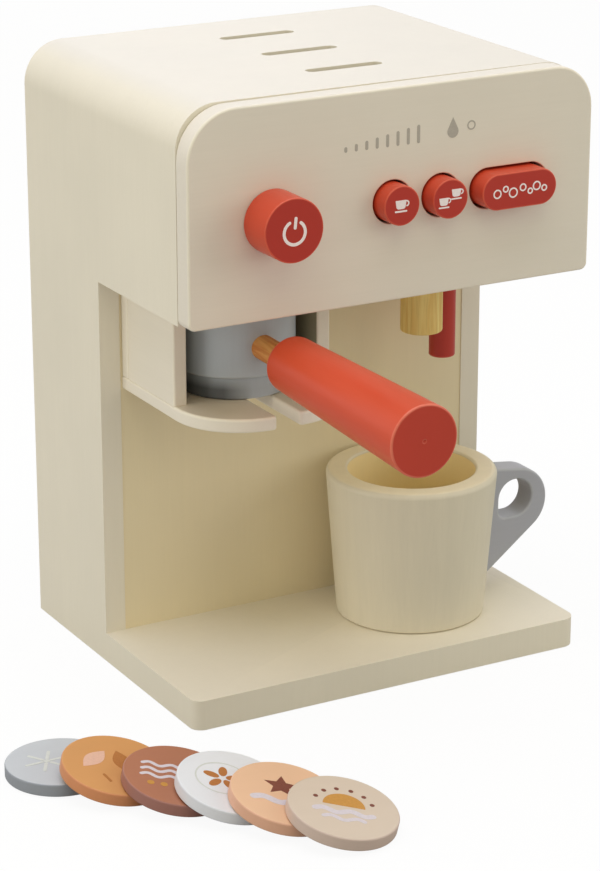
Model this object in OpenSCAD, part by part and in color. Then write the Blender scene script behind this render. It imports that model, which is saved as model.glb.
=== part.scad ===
// Wooden toy coffee maker: a C-shaped cabinet with a removable filter, push buttons, a turning
// knob, a mug and six coins. Millimetres, +Z up, the front faces -Y. The origin is the centre of
// the machine's footprint on the floor.

/* [Cabinet] */
// Overall width
body_w = 180; // [170:2:200]
// Depth from the front panel's face to the back
body_d = 145; // [142:1:150]
// Overall height
body_h = 248; // [244:2:270]
// Thickness of the side boards and of the top board
board_t = 9; // [8.5:0.5:10]
// Outside radius of the two rounded top corners
corner_r = 17; // [15:1:20]
// Thickness of the base board
base_t = 12.5; // [12:0.5:15]
// How far the base stands forward of the front panel
base_lip = 1.2; // [0:0.2:4]
// Radius of the base board's front corners
base_corner_r = 5; // [3:0.5:8]
// Depth of the back uprights
upright_d = 66; // [64:1:67]
// Clear height between the base and the head
window_h = 151; // [149:1:153]
// Thickness of the front panel
panel_t = 9; // [8:0.5:10]
// Radius of the front panel's bottom corners
panel_low_r = 3; // [1:0.5:5]
// Thickness of the recess board, the head floor and the back board
inner_t = 6; // [5:0.5:7]
// How far the recess board sits behind the uprights' front edges
recess_step = 0.4; // [0.2:0.1:1]

/* [Coin slots] */
// Number of slots
slot_count = 3; // [1:1:3]
// Length of a slot, end to end
slot_len = 34; // [30:1:38]
// Width of a slot
slot_w = 5.6; // [5.4:0.1:6.4]
// Distance from one slot to the next
slot_pitch = 35.7; // [33:0.5:37]
// Distance from the back of the cabinet to the rear slot
slot_inset = 33; // [30:1:36]

/* [Knob and buttons] */
// Height of the row of controls above the head's underside
row_h = 39.5; // [36:0.5:42]
// Distance of the knob's axis from the left side
knob_in = 35.8; // [34:0.2:40]
// How far the knob's axis is below the middle of the row
knob_drop = 0.6; // [0:0.1:2]
// Diameter of the knob
knob_d = 25; // [22:0.5:28]
// How far the knob stands out
knob_out = 17; // [12:0.5:20]
// Diameter of the knob's shaft
shaft_d = 8; // [6:0.5:10]
// Diameter of the collar on the shaft
collar_d = 18; // [16:0.5:22]
// Thickness of the collar
collar_t = 5; // [4:0.5:7]
// Distance from the right side to the hole of the long button
button_in = 20.3; // [19:0.1:24]
// Space between the edges of neighbouring button holes
hole_space = 4.4; // [3.6:0.1:5]
// Diameter of a round button
button_d = 15; // [14:0.2:15.4]
// Length of the long button
long_len = 34; // [30:0.5:35]
// Height of the long button
long_w = 14; // [13:0.5:15]
// How far the buttons stand out
button_out = 8; // [6.5:0.5:10]
// Gap around a button in its hole
button_gap = 1.2; // [0.8:0.1:1.4]
// How far a button can be pushed in
button_travel = 5; // [3:0.5:6]
// Width of the rim that keeps a button behind the panel
rim_w = 1.2; // [1:0.1:1.6]
// Thickness of that rim
rim_t = 3; // [2:0.5:4]
// Diameter of a button's stem
stem_d = 5; // [4:0.5:6]
// How far a stem goes into its button
stem_sink = 8; // [6:0.5:10]
// Distance between the long button's two stems
stem_spread = 20; // [16:1:22]
// Thickness of the guide board behind the buttons
guide_t = 6; // [5:0.5:8]
// Spare length of a button spring with the button pushed in
spring_room = 5.9; // [4:0.1:7]
// Mean diameter of a button spring
spring_d = 9; // [8:0.5:10]
// Wire diameter of a button spring
spring_wire = 0.9; // [0.7:0.1:1.1]
// Number of turns in a button spring
spring_turns = 6; // [4:1:7]

/* [Group holder] */
// Overall width of the holder
holder_w = 70; // [66:1:72]
// Gap between the holder and the left side board's inner face line
holder_gap = 1; // [0.5:0.5:3]
// Height from the head's underside to the shelf's underside
holder_h = 46.2; // [44:0.5:50]
// Thickness of the shelf
shelf_t = 5.6; // [5:0.2:7]
// Depth of the shelf, from the recess board to its front
shelf_d = 75.5; // [72:0.5:78]
// Radius of the shelf's two front corners
shelf_r = 28; // [24:1:30]
// Thickness of the two walls
wall_t = 5.9; // [4.5:0.1:6.5]
// Depth of the walls, from the recess board to their front
wall_d = 46; // [40:1:50]
// Thickness of the holder's back board
holder_back_t = 5.5; // [5:0.5:6.5]
// Width of the notch in the shelf's front
notch_w = 10; // [8:0.5:12]

/* [Filter] */
// Diameter of the filter cup
cup_d = 49; // [44:0.5:50]
// Height of the filter cup
cup_h = 36; // [32:0.5:38]
// Depth of the step around the cup's foot
foot_step = 2; // [1:0.5:3]
// Height of the cup's foot
foot_h = 9; // [6:0.5:10]
// Wall thickness of the filter cup
cup_wall = 5; // [4:0.5:6]
// Thickness of the filter cup's floor
cup_floor = 9; // [9:0.5:12]
// Diameter of the dowel between the cup and the handle
link_d = 10; // [8:0.5:11]
// Gap between the cup and the handle
link_len = 21; // [18:1:26]
// Height of the handle's axis above the shelf
handle_h = 22; // [21:0.5:24]
// Length of the handle
handle_len = 99.5; // [85:0.5:110]
// Diameter of the handle's inner end
handle_d1 = 22.4; // [20:0.2:25]
// Diameter of the handle's outer end
handle_d2 = 28; // [25:0.2:30]
// How far the dowel goes into the handle
link_sink = 20; // [15:1:25]
// Droop of the handle, in degrees
droop = 1.1; // [0:0.1:1.5]

/* [Spouts] */
// Distance of the coffee spout's axis from the right side
spout_in = 50.7; // [48:0.1:54]
// Distance of the coffee spout's axis in front of the recess board
spout_y = 35.3; // [33:0.1:38]
// Diameter of the coffee spout
spout_d = 17.4; // [15:0.2:19]
// Length of the coffee spout below the head
spout_len = 29.2; // [22:0.2:34]
// Distance of the steam wand's axis from the right side
wand_in = 33.5; // [30:0.1:34]
// Distance of the steam wand's axis in front of the recess board
wand_y = 24; // [21:0.1:26]
// Diameter of the steam wand
wand_d = 11; // [9:0.2:12]
// Length of the steam wand below the head
wand_len = 45.5; // [36:0.5:55]
// Diameter of the pegs that hold both in the head's floor
peg_d = 8; // [6:0.5:9]

/* [Mug] */
// Distance of the mug's axis from the right side
mug_in = 55.2; // [50:0.1:58]
// Gap between the mug's rim and the recess board
mug_back = 0.6; // [0.6:0.1:6]
// Height of the mug
mug_h = 62.8; // [55:0.2:68]
// Outside diameter of the mug's rim
mug_d = 71.6; // [66:0.2:74]
// Outside diameter of the mug's foot
mug_foot_d = 62; // [56:0.5:64]
// Wall thickness of the mug
mug_wall = 9; // [6:0.5:10]
// Thickness of the mug's floor
mug_floor = 8; // [6:0.5:12]
// Thickness of the handle plate
grip_t = 11; // [9:0.5:13]
// Outside radius of the handle's round end
grip_r = 14.8; // [13:0.2:16]
// Radius of the finger hole
grip_hole_r = 8.2; // [7:0.1:8.5]
// Radius of the finger hole's corner near the mug's foot
grip_corner_r = 3.2; // [2:0.1:6]
// How far the finger hole's centre is above the round end's
grip_hole_up = 2; // [0:0.2:3]
// How far the finger hole's centre is nearer the mug than the round end's
grip_hole_in = 0.8; // [0:0.2:2]
// Distance from the mug's axis to the handle's round end
grip_out = 49.4; // [47:0.2:51]
// Height of the handle's round end above the mug's foot
grip_z = 39.8; // [36:0.2:42]
// How much higher the handle's top is at the mug
grip_rise = 3; // [0:0.5:4]
// Height of the handle's lower tip above the mug's foot
grip_tip = 7; // [6:0.5:12]

/* [Coins] */
// Diameter of a coin
coin_d = 42; // [38:1:46]
// Thickness of a coin
coin_t = 5; // [4:0.1:5.1]
// Place of the flat first coin's centre, to the right of the middle
coin_x = -151.7; // [-160:0.1:-145]
// Place of that centre along +Y
coin_y = -81; // [-90:0.5:-70]
// Direction of the fan, in degrees from +X
coin_heading = -55.3; // [-65:0.1:-45]

/* [Joinery] */
// Diameter of the locating dowels
dowel_d = 5; // [4:0.5:5.5]
// Length of the locating dowels
dowel_len = 14; // [12:1:14]
// Width of the square battens behind the sides
batten = 10; // [8:1:12]
// Diameter of the base screws
base_screw_d = 3.5; // [3:0.5:4]
// Length of the base screws
base_screw_len = 32; // [26:1:36]
// Diameter of the small screws in the back board and in the holder
small_screw_d = 3; // [2.5:0.5:3.5]
// Length of those small screws
small_screw_len = 11; // [9:0.5:11]
// Radial gap of a shaft or a stem that moves in its hole
run_fit = 0.08; // [0.05:0.01:0.1]
// Gap of glued pieces and pegs in their holes
glue_fit = 0.02; // [0.01:0.01:0.05]
// Gap between pieces that slide or lie on each other
rest_gap = 0.2; // [0.1:0.05:0.3]

/* [Hidden] */
$fn = 96;
half_w = body_w / 2;
inner_w = half_w - board_t;
back_y = body_d / 2;
front_y = -body_d / 2;
case_y = front_y + panel_t;
upright_y = back_y - upright_d;
recess_y = upright_y + recess_step;
head_z = base_t + window_h;
floor_z = head_z + inner_t;
bend_z = body_h - corner_r;
roof_z = body_h - board_t;
inner_r = corner_r - board_t;
row_z = head_z + row_h;
rim_y = case_y + rest_gap;
rim_back = rim_y + rim_t;
guide_y = rim_back + button_travel + spring_turns * spring_wire + spring_room;
shelf_z = head_z - holder_h;
shelf_top = shelf_z + shelf_t;
holder_x = -inner_w + holder_gap + holder_w / 2;
holder_front = recess_y - holder_back_t;
cup_r = cup_d / 2;
cup_y = holder_front - 2 * rest_gap - cup_r;
cup_z = shelf_top + rest_gap;
axis_z = shelf_top + handle_h;
mug_z = base_t + rest_gap;
mug_r = mug_d / 2;
mug_x = half_w - mug_in;
mug_y = recess_y - mug_back - mug_r;
hole_d = button_d + 2 * button_gap;
long_hole_len = long_len + 2 * button_gap;
long_hole_w = long_w + 2 * button_gap;
long_x = half_w - button_in - long_hole_len / 2;
second_x = long_x - long_hole_len / 2 - hole_space - hole_d / 2;
first_x = second_x - hole_d - hole_space;
knob_x = knob_in - half_w;
knob_z = row_z - knob_drop;
spout_x = half_w - spout_in;
wand_x = half_w - wand_in;
stem_x = [first_x, second_x, long_x - stem_spread / 2, long_x + stem_spread / 2];
side_mid = half_w - board_t / 2;
dowel_in = 6;
dowel_inset = 20;
screw_inset = 12;
stem_over = 1;
blind_end = 4;
cut = 1;
wire_sides = 6;
turn_steps = 12;
// Step from each coin to the next along the fan, and how far each lies to the side of its line
coin_steps = coin_d * [0.575, 0.595, 0.5, 0.524, 0.571];
coin_side = coin_d * [0, -0.036, 0.024, 0.083, 0.095, 0.083];
COIN_NAMES = ["coin_grey", "coin_orange", "coin_brown", "coin_white", "coin_peach", "coin_beige"];
COIN_COLOURS = ["#aab2b0", "#e0985a", "#8a5a45", "#e8e8ea", "#eab48a", "#cfc0a2"];
CREAM = "#ece6d8";
RED = "#d24b35";
PINE = "#d9b878";
GREY = "#8f9294";
STEEL = "#b8bcc0";

// Sum of the first n numbers of a list
function total(list, n) = n == 0 ? 0 : list[n - 1] + total(list, n - 1);

// A drawing in X and Z, extruded along Y from one depth to another
module board_y(from, to) {
  translate([0, to, 0]) rotate([90, 0, 0]) linear_extrude(to - from) children();
}

// A cylinder along +Y
module rod_y(x, z, from, to, d) {
  translate([x, from, z]) rotate([-90, 0, 0]) cylinder(h = to - from, d = d);
}

// A rectangle with one radius at its two low corners and another at its two high ones
module round_box(x0, x1, y0, y1, r_low, r_high) {
  translate([x0, y0 + r_low]) square([x1 - x0, y1 - y0 - r_low - r_high]);
  for (end = [[y0, r_low, y0 + r_low], [y1 - r_high, r_high, y1 - r_high]]) {
    if (end[1] > 0) {
      translate([x0 + end[1], end[0]]) square([x1 - x0 - 2 * end[1], end[1]]);
      for (x = [x0 + end[1], x1 - end[1]]) translate([x, end[2]]) circle(end[1]);
    }
  }
}

// A slot with round ends, centred
module stadium(len, w) {
  square([len - w, w], center = true);
  for (s = [-1, 1]) translate([s * (len - w) / 2, 0]) circle(d = w);
}

// A countersunk screw with its head's top at z = 0 and its tip upwards
module screw(d, len) {
  difference() {
    union() {
      cylinder(h = d / 2, d1 = 2 * d, d2 = d);
      cylinder(h = len - d, d = d);
      translate([0, 0, len - d]) cylinder(h = d, d1 = d, d2 = d / 4);
    }
    for (a = [0, 90]) rotate(a) cube([d, d / 4, d / 2], center = true);
  }
}

module screw_hole(d, len) {
  cylinder(h = d / 2, d1 = 2 * (d + glue_fit), d2 = d + 2 * glue_fit);
  translate([0, 0, -cut]) cylinder(h = len + cut, d = d + 2 * glue_fit);
}

// Where the locating dowels and the screws go
module at_panel_dowels() {
  for (x = [-side_mid, side_mid], z = [head_z + dowel_inset, bend_z - dowel_inset])
    translate([x, case_y - dowel_in, z]) rotate([-90, 0, 0]) children();
}

module at_top_dowels() {
  for (x = [-side_mid, side_mid], y = [case_y + dowel_inset, back_y - dowel_inset])
    translate([x, y, bend_z + dowel_in - dowel_len]) children();
}

module at_base_screws() {
  for (x = [-side_mid, side_mid], y = [upright_y + screw_inset, back_y - screw_inset])
    translate([x, y, 0]) children();
}

module at_back_screws() {
  x = inner_w - batten / 2;
  for (s = [-x, x], z = [base_t + dowel_inset, (base_t + bend_z) / 2, bend_z - dowel_inset])
    translate([s, back_y, z]) rotate([90, 0, 0]) children();
}

module at_holder_screws() {
  for (s = [-1, 1])
    translate([holder_x + s * holder_w / 4, holder_front, (shelf_top + head_z) / 2])
      rotate([-90, 0, 0]) children();
}

module dowel_hole() {
  cylinder(h = dowel_len, d = dowel_d + 2 * glue_fit);
}

module base_board() {
  color(CREAM) difference() {
    linear_extrude(base_t)
      round_box(-half_w, half_w, front_y - base_lip, back_y, base_corner_r, 0);
    at_base_screws() screw_hole(base_screw_d, base_screw_len);
  }
}

// One side board, between two X places
module side_board(x0) {
  color(CREAM) difference() {
    translate([x0, 0, 0]) rotate([90, 0, 90]) linear_extrude(board_t)
      polygon([[upright_y, base_t], [back_y, base_t], [back_y, bend_z], [case_y, bend_z],
        [case_y, head_z], [upright_y, head_z]]);
    at_panel_dowels() dowel_hole();
    at_top_dowels() dowel_hole();
    at_base_screws() screw_hole(base_screw_d, base_screw_len);
  }
}

module left_side() {
  side_board(-half_w);
}

module right_side() {
  side_board(inner_w);
}

module top_board() {
  color(CREAM) difference() {
    board_y(case_y, back_y) difference() {
      round_box(-half_w, half_w, head_z, body_h, 0, corner_r);
      round_box(-inner_w, inner_w, floor_z, roof_z, 0, inner_r);
      translate([-half_w - cut, head_z - cut]) square([body_w + 2 * cut, bend_z - head_z + cut]);
    }
    for (i = [0:slot_count - 1])
      translate([0, back_y - slot_inset - i * slot_pitch, roof_z - cut])
        linear_extrude(board_t + 2 * cut) stadium(slot_len, slot_w);
    at_top_dowels() dowel_hole();
  }
}

module back_board() {
  color(CREAM) difference() {
    board_y(back_y - inner_t, back_y) round_box(-inner_w, inner_w, base_t, roof_z, 0, inner_r);
    at_back_screws() screw_hole(small_screw_d, small_screw_len);
  }
}

module recess_board() {
  color(CREAM) difference() {
    translate([-inner_w, recess_y, base_t]) cube([2 * inner_w, inner_t, floor_z - base_t]);
    at_holder_screws() screw_hole(small_screw_d, small_screw_len);
  }
}

module head_floor() {
  color(CREAM) difference() {
    translate([-inner_w, case_y, head_z]) cube([2 * inner_w, recess_y - case_y, inner_t]);
    for (at = [[spout_x, spout_y], [wand_x, wand_y]])
      translate([at[0], recess_y - at[1], head_z - cut])
        cylinder(h = inner_t + 2 * cut, d = peg_d + 2 * glue_fit);
  }
}

module front_panel() {
  color(CREAM) difference() {
    board_y(front_y, case_y) difference() {
      round_box(-half_w, half_w, head_z, body_h, panel_low_r, corner_r);
      for (x = [first_x, second_x]) translate([x, row_z]) circle(d = hole_d);
      translate([long_x, row_z]) stadium(long_hole_len, long_hole_w);
    }
    rod_y(knob_x, knob_z, front_y - cut, case_y + cut, shaft_d + 2 * run_fit);
    at_panel_dowels() dowel_hole();
  }
}

// The board inside the head that the stems of the buttons run through
module button_guide() {
  color(PINE) difference() {
    board_y(guide_y, guide_y + guide_t)
      round_box(-inner_w, inner_w, floor_z, roof_z, 0, inner_r);
    for (x = stem_x) rod_y(x, row_z, guide_y - cut, guide_y + guide_t + cut, stem_d + 2 * run_fit);
  }
}

module back_battens() {
  color(PINE) difference() {
    for (x = [-inner_w, inner_w - batten])
      translate([x, back_y - inner_t - batten, base_t]) cube([batten, batten, bend_z - base_t]);
    at_back_screws() screw_hole(small_screw_d, small_screw_len);
  }
}

module panel_dowels() {
  color(PINE) at_panel_dowels() cylinder(h = dowel_len, d = dowel_d);
}

module top_dowels() {
  color(PINE) at_top_dowels() cylinder(h = dowel_len, d = dowel_d);
}

module base_screws() {
  color(STEEL) at_base_screws() screw(base_screw_d, base_screw_len);
}

module back_screws() {
  color(STEEL) at_back_screws() screw(small_screw_d, small_screw_len);
}

module holder_back() {
  color(CREAM) difference() {
    translate([holder_x - holder_w / 2, holder_front, shelf_top])
      cube([holder_w, holder_back_t, head_z - shelf_top]);
    at_holder_screws() screw_hole(small_screw_d, small_screw_len);
  }
}

// One wall of the holder, with its outer face at x0 or at x0 + wall_t
module holder_wall(x0) {
  color(CREAM) translate([x0, recess_y - wall_d, shelf_top])
    cube([wall_t, wall_d - holder_back_t, head_z - shelf_top]);
}

module holder_left_wall() {
  holder_wall(holder_x - holder_w / 2);
}

module holder_right_wall() {
  holder_wall(holder_x + holder_w / 2 - wall_t);
}

module holder_shelf() {
  color(CREAM) translate([holder_x, 0, shelf_z]) linear_extrude(shelf_t) difference() {
    round_box(-holder_w / 2, holder_w / 2, recess_y - shelf_d, recess_y, shelf_r, 0);
    translate([0, cup_y]) circle(d = notch_w);
    translate([-notch_w / 2, recess_y - shelf_d - cut])
      square([notch_w, cup_y - recess_y + shelf_d + cut]);
  }
}

module holder_screws() {
  color(STEEL) at_holder_screws() screw(small_screw_d, small_screw_len);
}

// A round piece that hangs below the head on a peg in the head's floor
module hanger(x, y, d, len) {
  translate([x, recess_y - y, head_z - len]) {
    cylinder(h = len, d = d);
    cylinder(h = len + inner_t, d = peg_d);
  }
}

module coffee_spout() {
  color(PINE) hanger(spout_x, spout_y, spout_d, spout_len);
}

module steam_wand() {
  color(RED) hanger(wand_x, wand_y, wand_d, wand_len);
}

module power_knob() {
  color(RED) difference() {
    rod_y(knob_x, knob_z, front_y - knob_out, front_y - rest_gap, knob_d);
    rod_y(knob_x, knob_z, front_y - knob_out + blind_end, front_y, shaft_d + 2 * glue_fit);
  }
}

module knob_shaft() {
  color(PINE) rod_y(knob_x, knob_z, front_y - knob_out + blind_end,
    rim_y + collar_t, shaft_d);
}

module knob_collar() {
  color(PINE) difference() {
    rod_y(knob_x, knob_z, rim_y, rim_y + collar_t, collar_d);
    rod_y(knob_x, knob_z, rim_y - cut, rim_y + collar_t + cut, shaft_d + 2 * glue_fit);
  }
}

// Holes for the stems in the back of a button
module stem_holes(xs) {
  for (x = xs)
    rod_y(x, row_z, rim_back - stem_sink, rim_back + cut, stem_d + 2 * glue_fit);
}

module round_button(x) {
  color(RED) difference() {
    union() {
      rod_y(x, row_z, front_y - button_out, rim_back, button_d);
      rod_y(x, row_z, rim_y, rim_back, hole_d + 2 * rim_w);
    }
    stem_holes([x]);
  }
}

module foam_button() {
  color(RED) difference() {
    union() {
      board_y(front_y - button_out, rim_back)
        translate([long_x, row_z]) stadium(long_len, long_w);
      board_y(rim_y, rim_back)
        translate([long_x, row_z]) stadium(long_hole_len + 2 * rim_w, long_hole_w + 2 * rim_w);
    }
    stem_holes([stem_x[2], stem_x[3]]);
  }
}

module stem(x) {
  color(PINE) rod_y(x, row_z, rim_back - stem_sink, guide_y + guide_t + stem_over, stem_d);
}

// A coil spring between a button's rim and the guide board, swept along its helix
module spring(x) {
  rings = turn_steps * spring_turns;
  run = guide_y - rim_back - spring_wire;
  points = [for (i = [0:rings], j = [0:wire_sides - 1])
    let (a = 360 * i * spring_turns / rings, b = 360 * j / wire_sides,
      r = (spring_d + spring_wire * cos(b)) / 2)
    [x + r * cos(a), rim_back + spring_wire / 2 * (1 + sin(b)) + run * i / rings,
      row_z + r * sin(a)]];
  walls = [for (i = [0:rings - 1], j = [0:wire_sides - 1])
    let (k = i * wire_sides, n = (j + 1) % wire_sides)
    [k + j, k + n, k + wire_sides + n, k + wire_sides + j]];
  first_end = [for (j = [0:wire_sides - 1]) wire_sides - 1 - j];
  last_end = [for (j = [0:wire_sides - 1]) rings * wire_sides + j];
  color(STEEL) polyhedron(points, concat(walls, [first_end, last_end]));
}

module one_cup_button() {
  round_button(first_x);
}

module one_cup_stem() {
  stem(first_x);
}

module one_cup_spring() {
  spring(first_x);
}

module two_cup_button() {
  round_button(second_x);
}

module two_cup_stem() {
  stem(second_x);
}

module two_cup_spring() {
  spring(second_x);
}

module foam_stems() {
  for (i = [2, 3]) stem(stem_x[i]);
}

module foam_springs() {
  for (i = [2, 3]) spring(stem_x[i]);
}

// Along the filter's handle: z = 0 is the cup's axis and +Z points out to the handle's end
module along_handle(from) {
  translate([holder_x, cup_y, axis_z]) rotate([90 + droop, 0, 0])
    translate([0, 0, from]) children();
}

module filter_cup() {
  color(GREY) difference() {
    translate([holder_x, cup_y, cup_z]) difference() {
      union() {
        cylinder(h = foot_h, d = cup_d - 2 * foot_step);
        translate([0, 0, foot_h]) cylinder(h = cup_h - foot_h, d = cup_d);
      }
      translate([0, 0, cup_floor]) cylinder(h = cup_h, d = cup_d - 2 * cup_wall);
    }
    along_handle(0) cylinder(h = cup_d, d = link_d + 2 * glue_fit);
  }
}

module filter_dowel() {
  color(PINE) along_handle(cup_r - cup_wall)
    cylinder(h = cup_wall + link_len + link_sink, d = link_d);
}

module filter_handle() {
  color(RED) along_handle(cup_r + link_len) difference() {
    cylinder(h = handle_len, d1 = handle_d1, d2 = handle_d2);
    translate([0, 0, -cut]) cylinder(h = link_sink + cut, d = link_d + 2 * glue_fit);
  }
}

module mug_body() {
  color(CREAM) translate([mug_x, mug_y, mug_z]) difference() {
    cylinder(h = mug_h, d1 = mug_foot_d, d2 = mug_d);
    translate([0, 0, mug_floor])
      cylinder(h = mug_h - mug_floor, d1 = mug_foot_d - 2 * mug_wall, d2 = mug_d - 2 * mug_wall);
    translate([0, 0, mug_h]) cylinder(h = cut, d = mug_d - 2 * mug_wall);
  }
}

// A round finger hole with one tighter corner, on the mug's side and low
module finger_hole() {
  r = grip_hole_r;
  low = grip_corner_r - r;
  circle(r);
  translate([low, low]) circle(grip_corner_r);
  translate([-r, low]) square([r, -low]);
  translate([low, -r]) square([-low, r]);
}

// Where a line from a point touches the round end, on its low side (-1) or its high side (1)
function touch(from, side) =
  let (reach = [grip_out, grip_z] - from, span = norm(reach),
    a = atan2(reach[1], reach[0]) + side * asin(grip_r / span))
  from + sqrt(span * span - grip_r * grip_r) * [cos(a), sin(a)];

// A flat plate beside the mug: a round end with a finger hole, tapering to a tip at the foot
module mug_handle() {
  inside = mug_foot_d / 2 - mug_wall / 2;
  low = [mug_foot_d / 2, grip_tip];
  high = [inside, grip_z + grip_r + grip_rise];
  color(GREY) translate([mug_x, mug_y, mug_z]) difference() {
    board_y(-grip_t / 2, grip_t / 2) difference() {
      union() {
        translate([grip_out, grip_z]) circle(grip_r);
        polygon([[inside, low[1]], low, touch(low, -1), [grip_out, grip_z], touch(high, 1), high]);
      }
      translate([grip_out - grip_hole_in, grip_z + grip_hole_up]) finger_hole();
    }
    cylinder(h = mug_h, d1 = mug_foot_d + 2 * glue_fit, d2 = mug_d + 2 * glue_fit);
  }
}

// Sine of each coin's tilt: it clears the low edge of the coin before it and lies on its high one
function lean(i) = i == 0 ? 0 : let (step = coin_steps[i - 1], thick = coin_t + rest_gap)
  max(thick / step, ((coin_d - step) * lean(i - 1) + thick) / coin_d);

module coin(i) {
  color(COIN_COLOURS[i]) translate([coin_x, coin_y, 0]) rotate(coin_heading)
    translate([coin_d / 2 + total(coin_steps, i), coin_side[i], 0])
      rotate([0, asin(lean(i)), 0]) translate([-coin_d / 2, 0, 0])
        cylinder(h = coin_t, d = coin_d);
}

base_board();
left_side();
right_side();
top_board();
back_board();
recess_board();
head_floor();
front_panel();
button_guide();
back_battens();
panel_dowels();
top_dowels();
base_screws();
back_screws();
holder_back();
holder_left_wall();
holder_right_wall();
holder_shelf();
holder_screws();
coffee_spout();
steam_wand();
power_knob();
knob_shaft();
knob_collar();
one_cup_button();
one_cup_stem();
one_cup_spring();
two_cup_button();
two_cup_stem();
two_cup_spring();
foam_button();
foam_stems();
foam_springs();
filter_cup();
filter_dowel();
filter_handle();
mug_body();
mug_handle();
for (i = [0:len(COIN_NAMES) - 1]) coin(i);
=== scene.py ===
import math

import bmesh
import bpy
from mathutils import Matrix, Vector, geometry


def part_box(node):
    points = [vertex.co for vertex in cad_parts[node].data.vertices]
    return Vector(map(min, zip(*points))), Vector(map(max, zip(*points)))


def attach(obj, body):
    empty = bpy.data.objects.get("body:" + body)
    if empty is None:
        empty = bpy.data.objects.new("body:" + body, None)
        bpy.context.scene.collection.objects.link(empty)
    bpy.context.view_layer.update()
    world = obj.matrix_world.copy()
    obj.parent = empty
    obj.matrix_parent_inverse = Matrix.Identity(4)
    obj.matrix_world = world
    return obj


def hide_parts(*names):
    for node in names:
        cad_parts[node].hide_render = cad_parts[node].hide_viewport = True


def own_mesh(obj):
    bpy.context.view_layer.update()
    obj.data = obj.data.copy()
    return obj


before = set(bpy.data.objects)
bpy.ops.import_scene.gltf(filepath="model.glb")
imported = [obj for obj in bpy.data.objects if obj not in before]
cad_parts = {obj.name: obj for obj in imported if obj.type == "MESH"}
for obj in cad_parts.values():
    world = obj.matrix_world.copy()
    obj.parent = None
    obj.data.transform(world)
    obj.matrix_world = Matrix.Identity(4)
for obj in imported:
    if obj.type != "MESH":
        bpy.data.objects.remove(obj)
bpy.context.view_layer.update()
mm = 0.001
weld = 1e-7  # points nearer than this, in metres, become one
crease = math.radians(35)  # edges that bend more than this look sharp
rightward = Vector((0.873, -0.488, 0))  # to the right, seen from the machine's front left
print("stage: frame loaded")


# Wires and graphs: short ways to write shader and geometry nodes
class Wire:
    def __init__(self, graph, socket):
        self.graph = graph
        self.socket = socket

    def __add__(self, other):
        return self.graph.maths("ADD", self, other)

    def __sub__(self, other):
        return self.graph.maths("SUBTRACT", self, other)

    def __mul__(self, other):
        return self.graph.maths("MULTIPLY", self, other)

    def __truediv__(self, other):
        return self.graph.maths("DIVIDE", self, other)


class Graph:
    def __init__(self, tree):
        self.tree = tree

    # Adds a node: settings first, then socket values or wires; returns the named or first output
    def node(self, kind, settings=None, values=None, output=None):
        made = self.tree.nodes.new(kind)
        for key, value in (settings or {}).items():
            setattr(made, key, value)
        for key, value in (values or {}).items():
            socket = self.find(made.inputs, key)
            for one in value if isinstance(value, list) else [value]:
                if isinstance(one, Wire):
                    self.tree.links.new(one.socket, socket)
                else:
                    socket.default_value = one
        wanted = self.find(made.outputs, output) if output else None
        return Wire(self, wanted or next(o for o in made.outputs if o.enabled))

    def find(self, sockets, key):
        if isinstance(key, int):
            return sockets[key]
        exact = [s for s in sockets if s.identifier == key]
        return (exact or [s for s in sockets if s.name == key and s.enabled])[0]

    def maths(self, operation, first, second):
        return self.node("ShaderNodeMath", {"operation": operation}, {0: first, 1: second})

    def blend(self, factor, first, second):
        values = {"Factor_Float": factor, "A_Color": first, "B_Color": second}
        return self.node("ShaderNodeMix", {"data_type": "RGBA"}, values, "Result_Color")

    def stretch(self, scale):
        where = self.node("ShaderNodeTexCoord", output="Object")
        return self.node("ShaderNodeMapping", {"vector_type": "POINT"}, {"Vector": where, "Scale": scale})

    def noise(self, vector, scale, detail, roughness, distortion=0.0):
        values = {"Vector": vector, "Scale": scale, "Detail": detail, "Roughness": roughness,
                  "Distortion": distortion}
        return self.node("ShaderNodeTexNoise", {"noise_dimensions": "3D"}, values, "Fac")

    def remap(self, value, low, high, outLow=0.0, outHigh=1.0):
        values = {"Value": value, "From Min": low, "From Max": high, "To Min": outLow, "To Max": outHigh}
        return self.node("ShaderNodeMapRange", {"clamp": True}, values)


def linear(channel):
    return channel / 12.92 if channel <= 0.04045 else ((channel + 0.055) / 1.055) ** 2.4


# An 8-bit colour as written on a swatch, made linear, with its brightness scaled
def swatch(red, green, blue, scale=1.0):
    return tuple(min(1.0, linear(c / 255) * scale) for c in (red, green, blue)) + (1.0,)


# Starts a material and gives back its graph and its shader
def startMaterial(name, settings):
    material = bpy.data.materials.new(name)
    material.use_nodes = True
    graph = Graph(material.node_tree)
    shader = material.node_tree.nodes["Principled BSDF"]
    for key, value in settings.items():
        shader.inputs[key].default_value = value
    return material, graph, shader


def feed(graph, shader, name, wire):
    graph.tree.links.new(wire.socket, shader.inputs[name])


# Roughly how many times each kind of mark repeats in a metre
paintMarks = {"cloud": 16, "brush": 210, "fibre": 900, "stipple": 1500, "wear": 90}
woodMarks = {"ring": 170, "fibre": 1300}
steelMarks = {"drawn": 1400, "patch": 420}
inkSpeckle = 1100
deepest = 0.24  # brightness of paint in full shade


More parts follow.
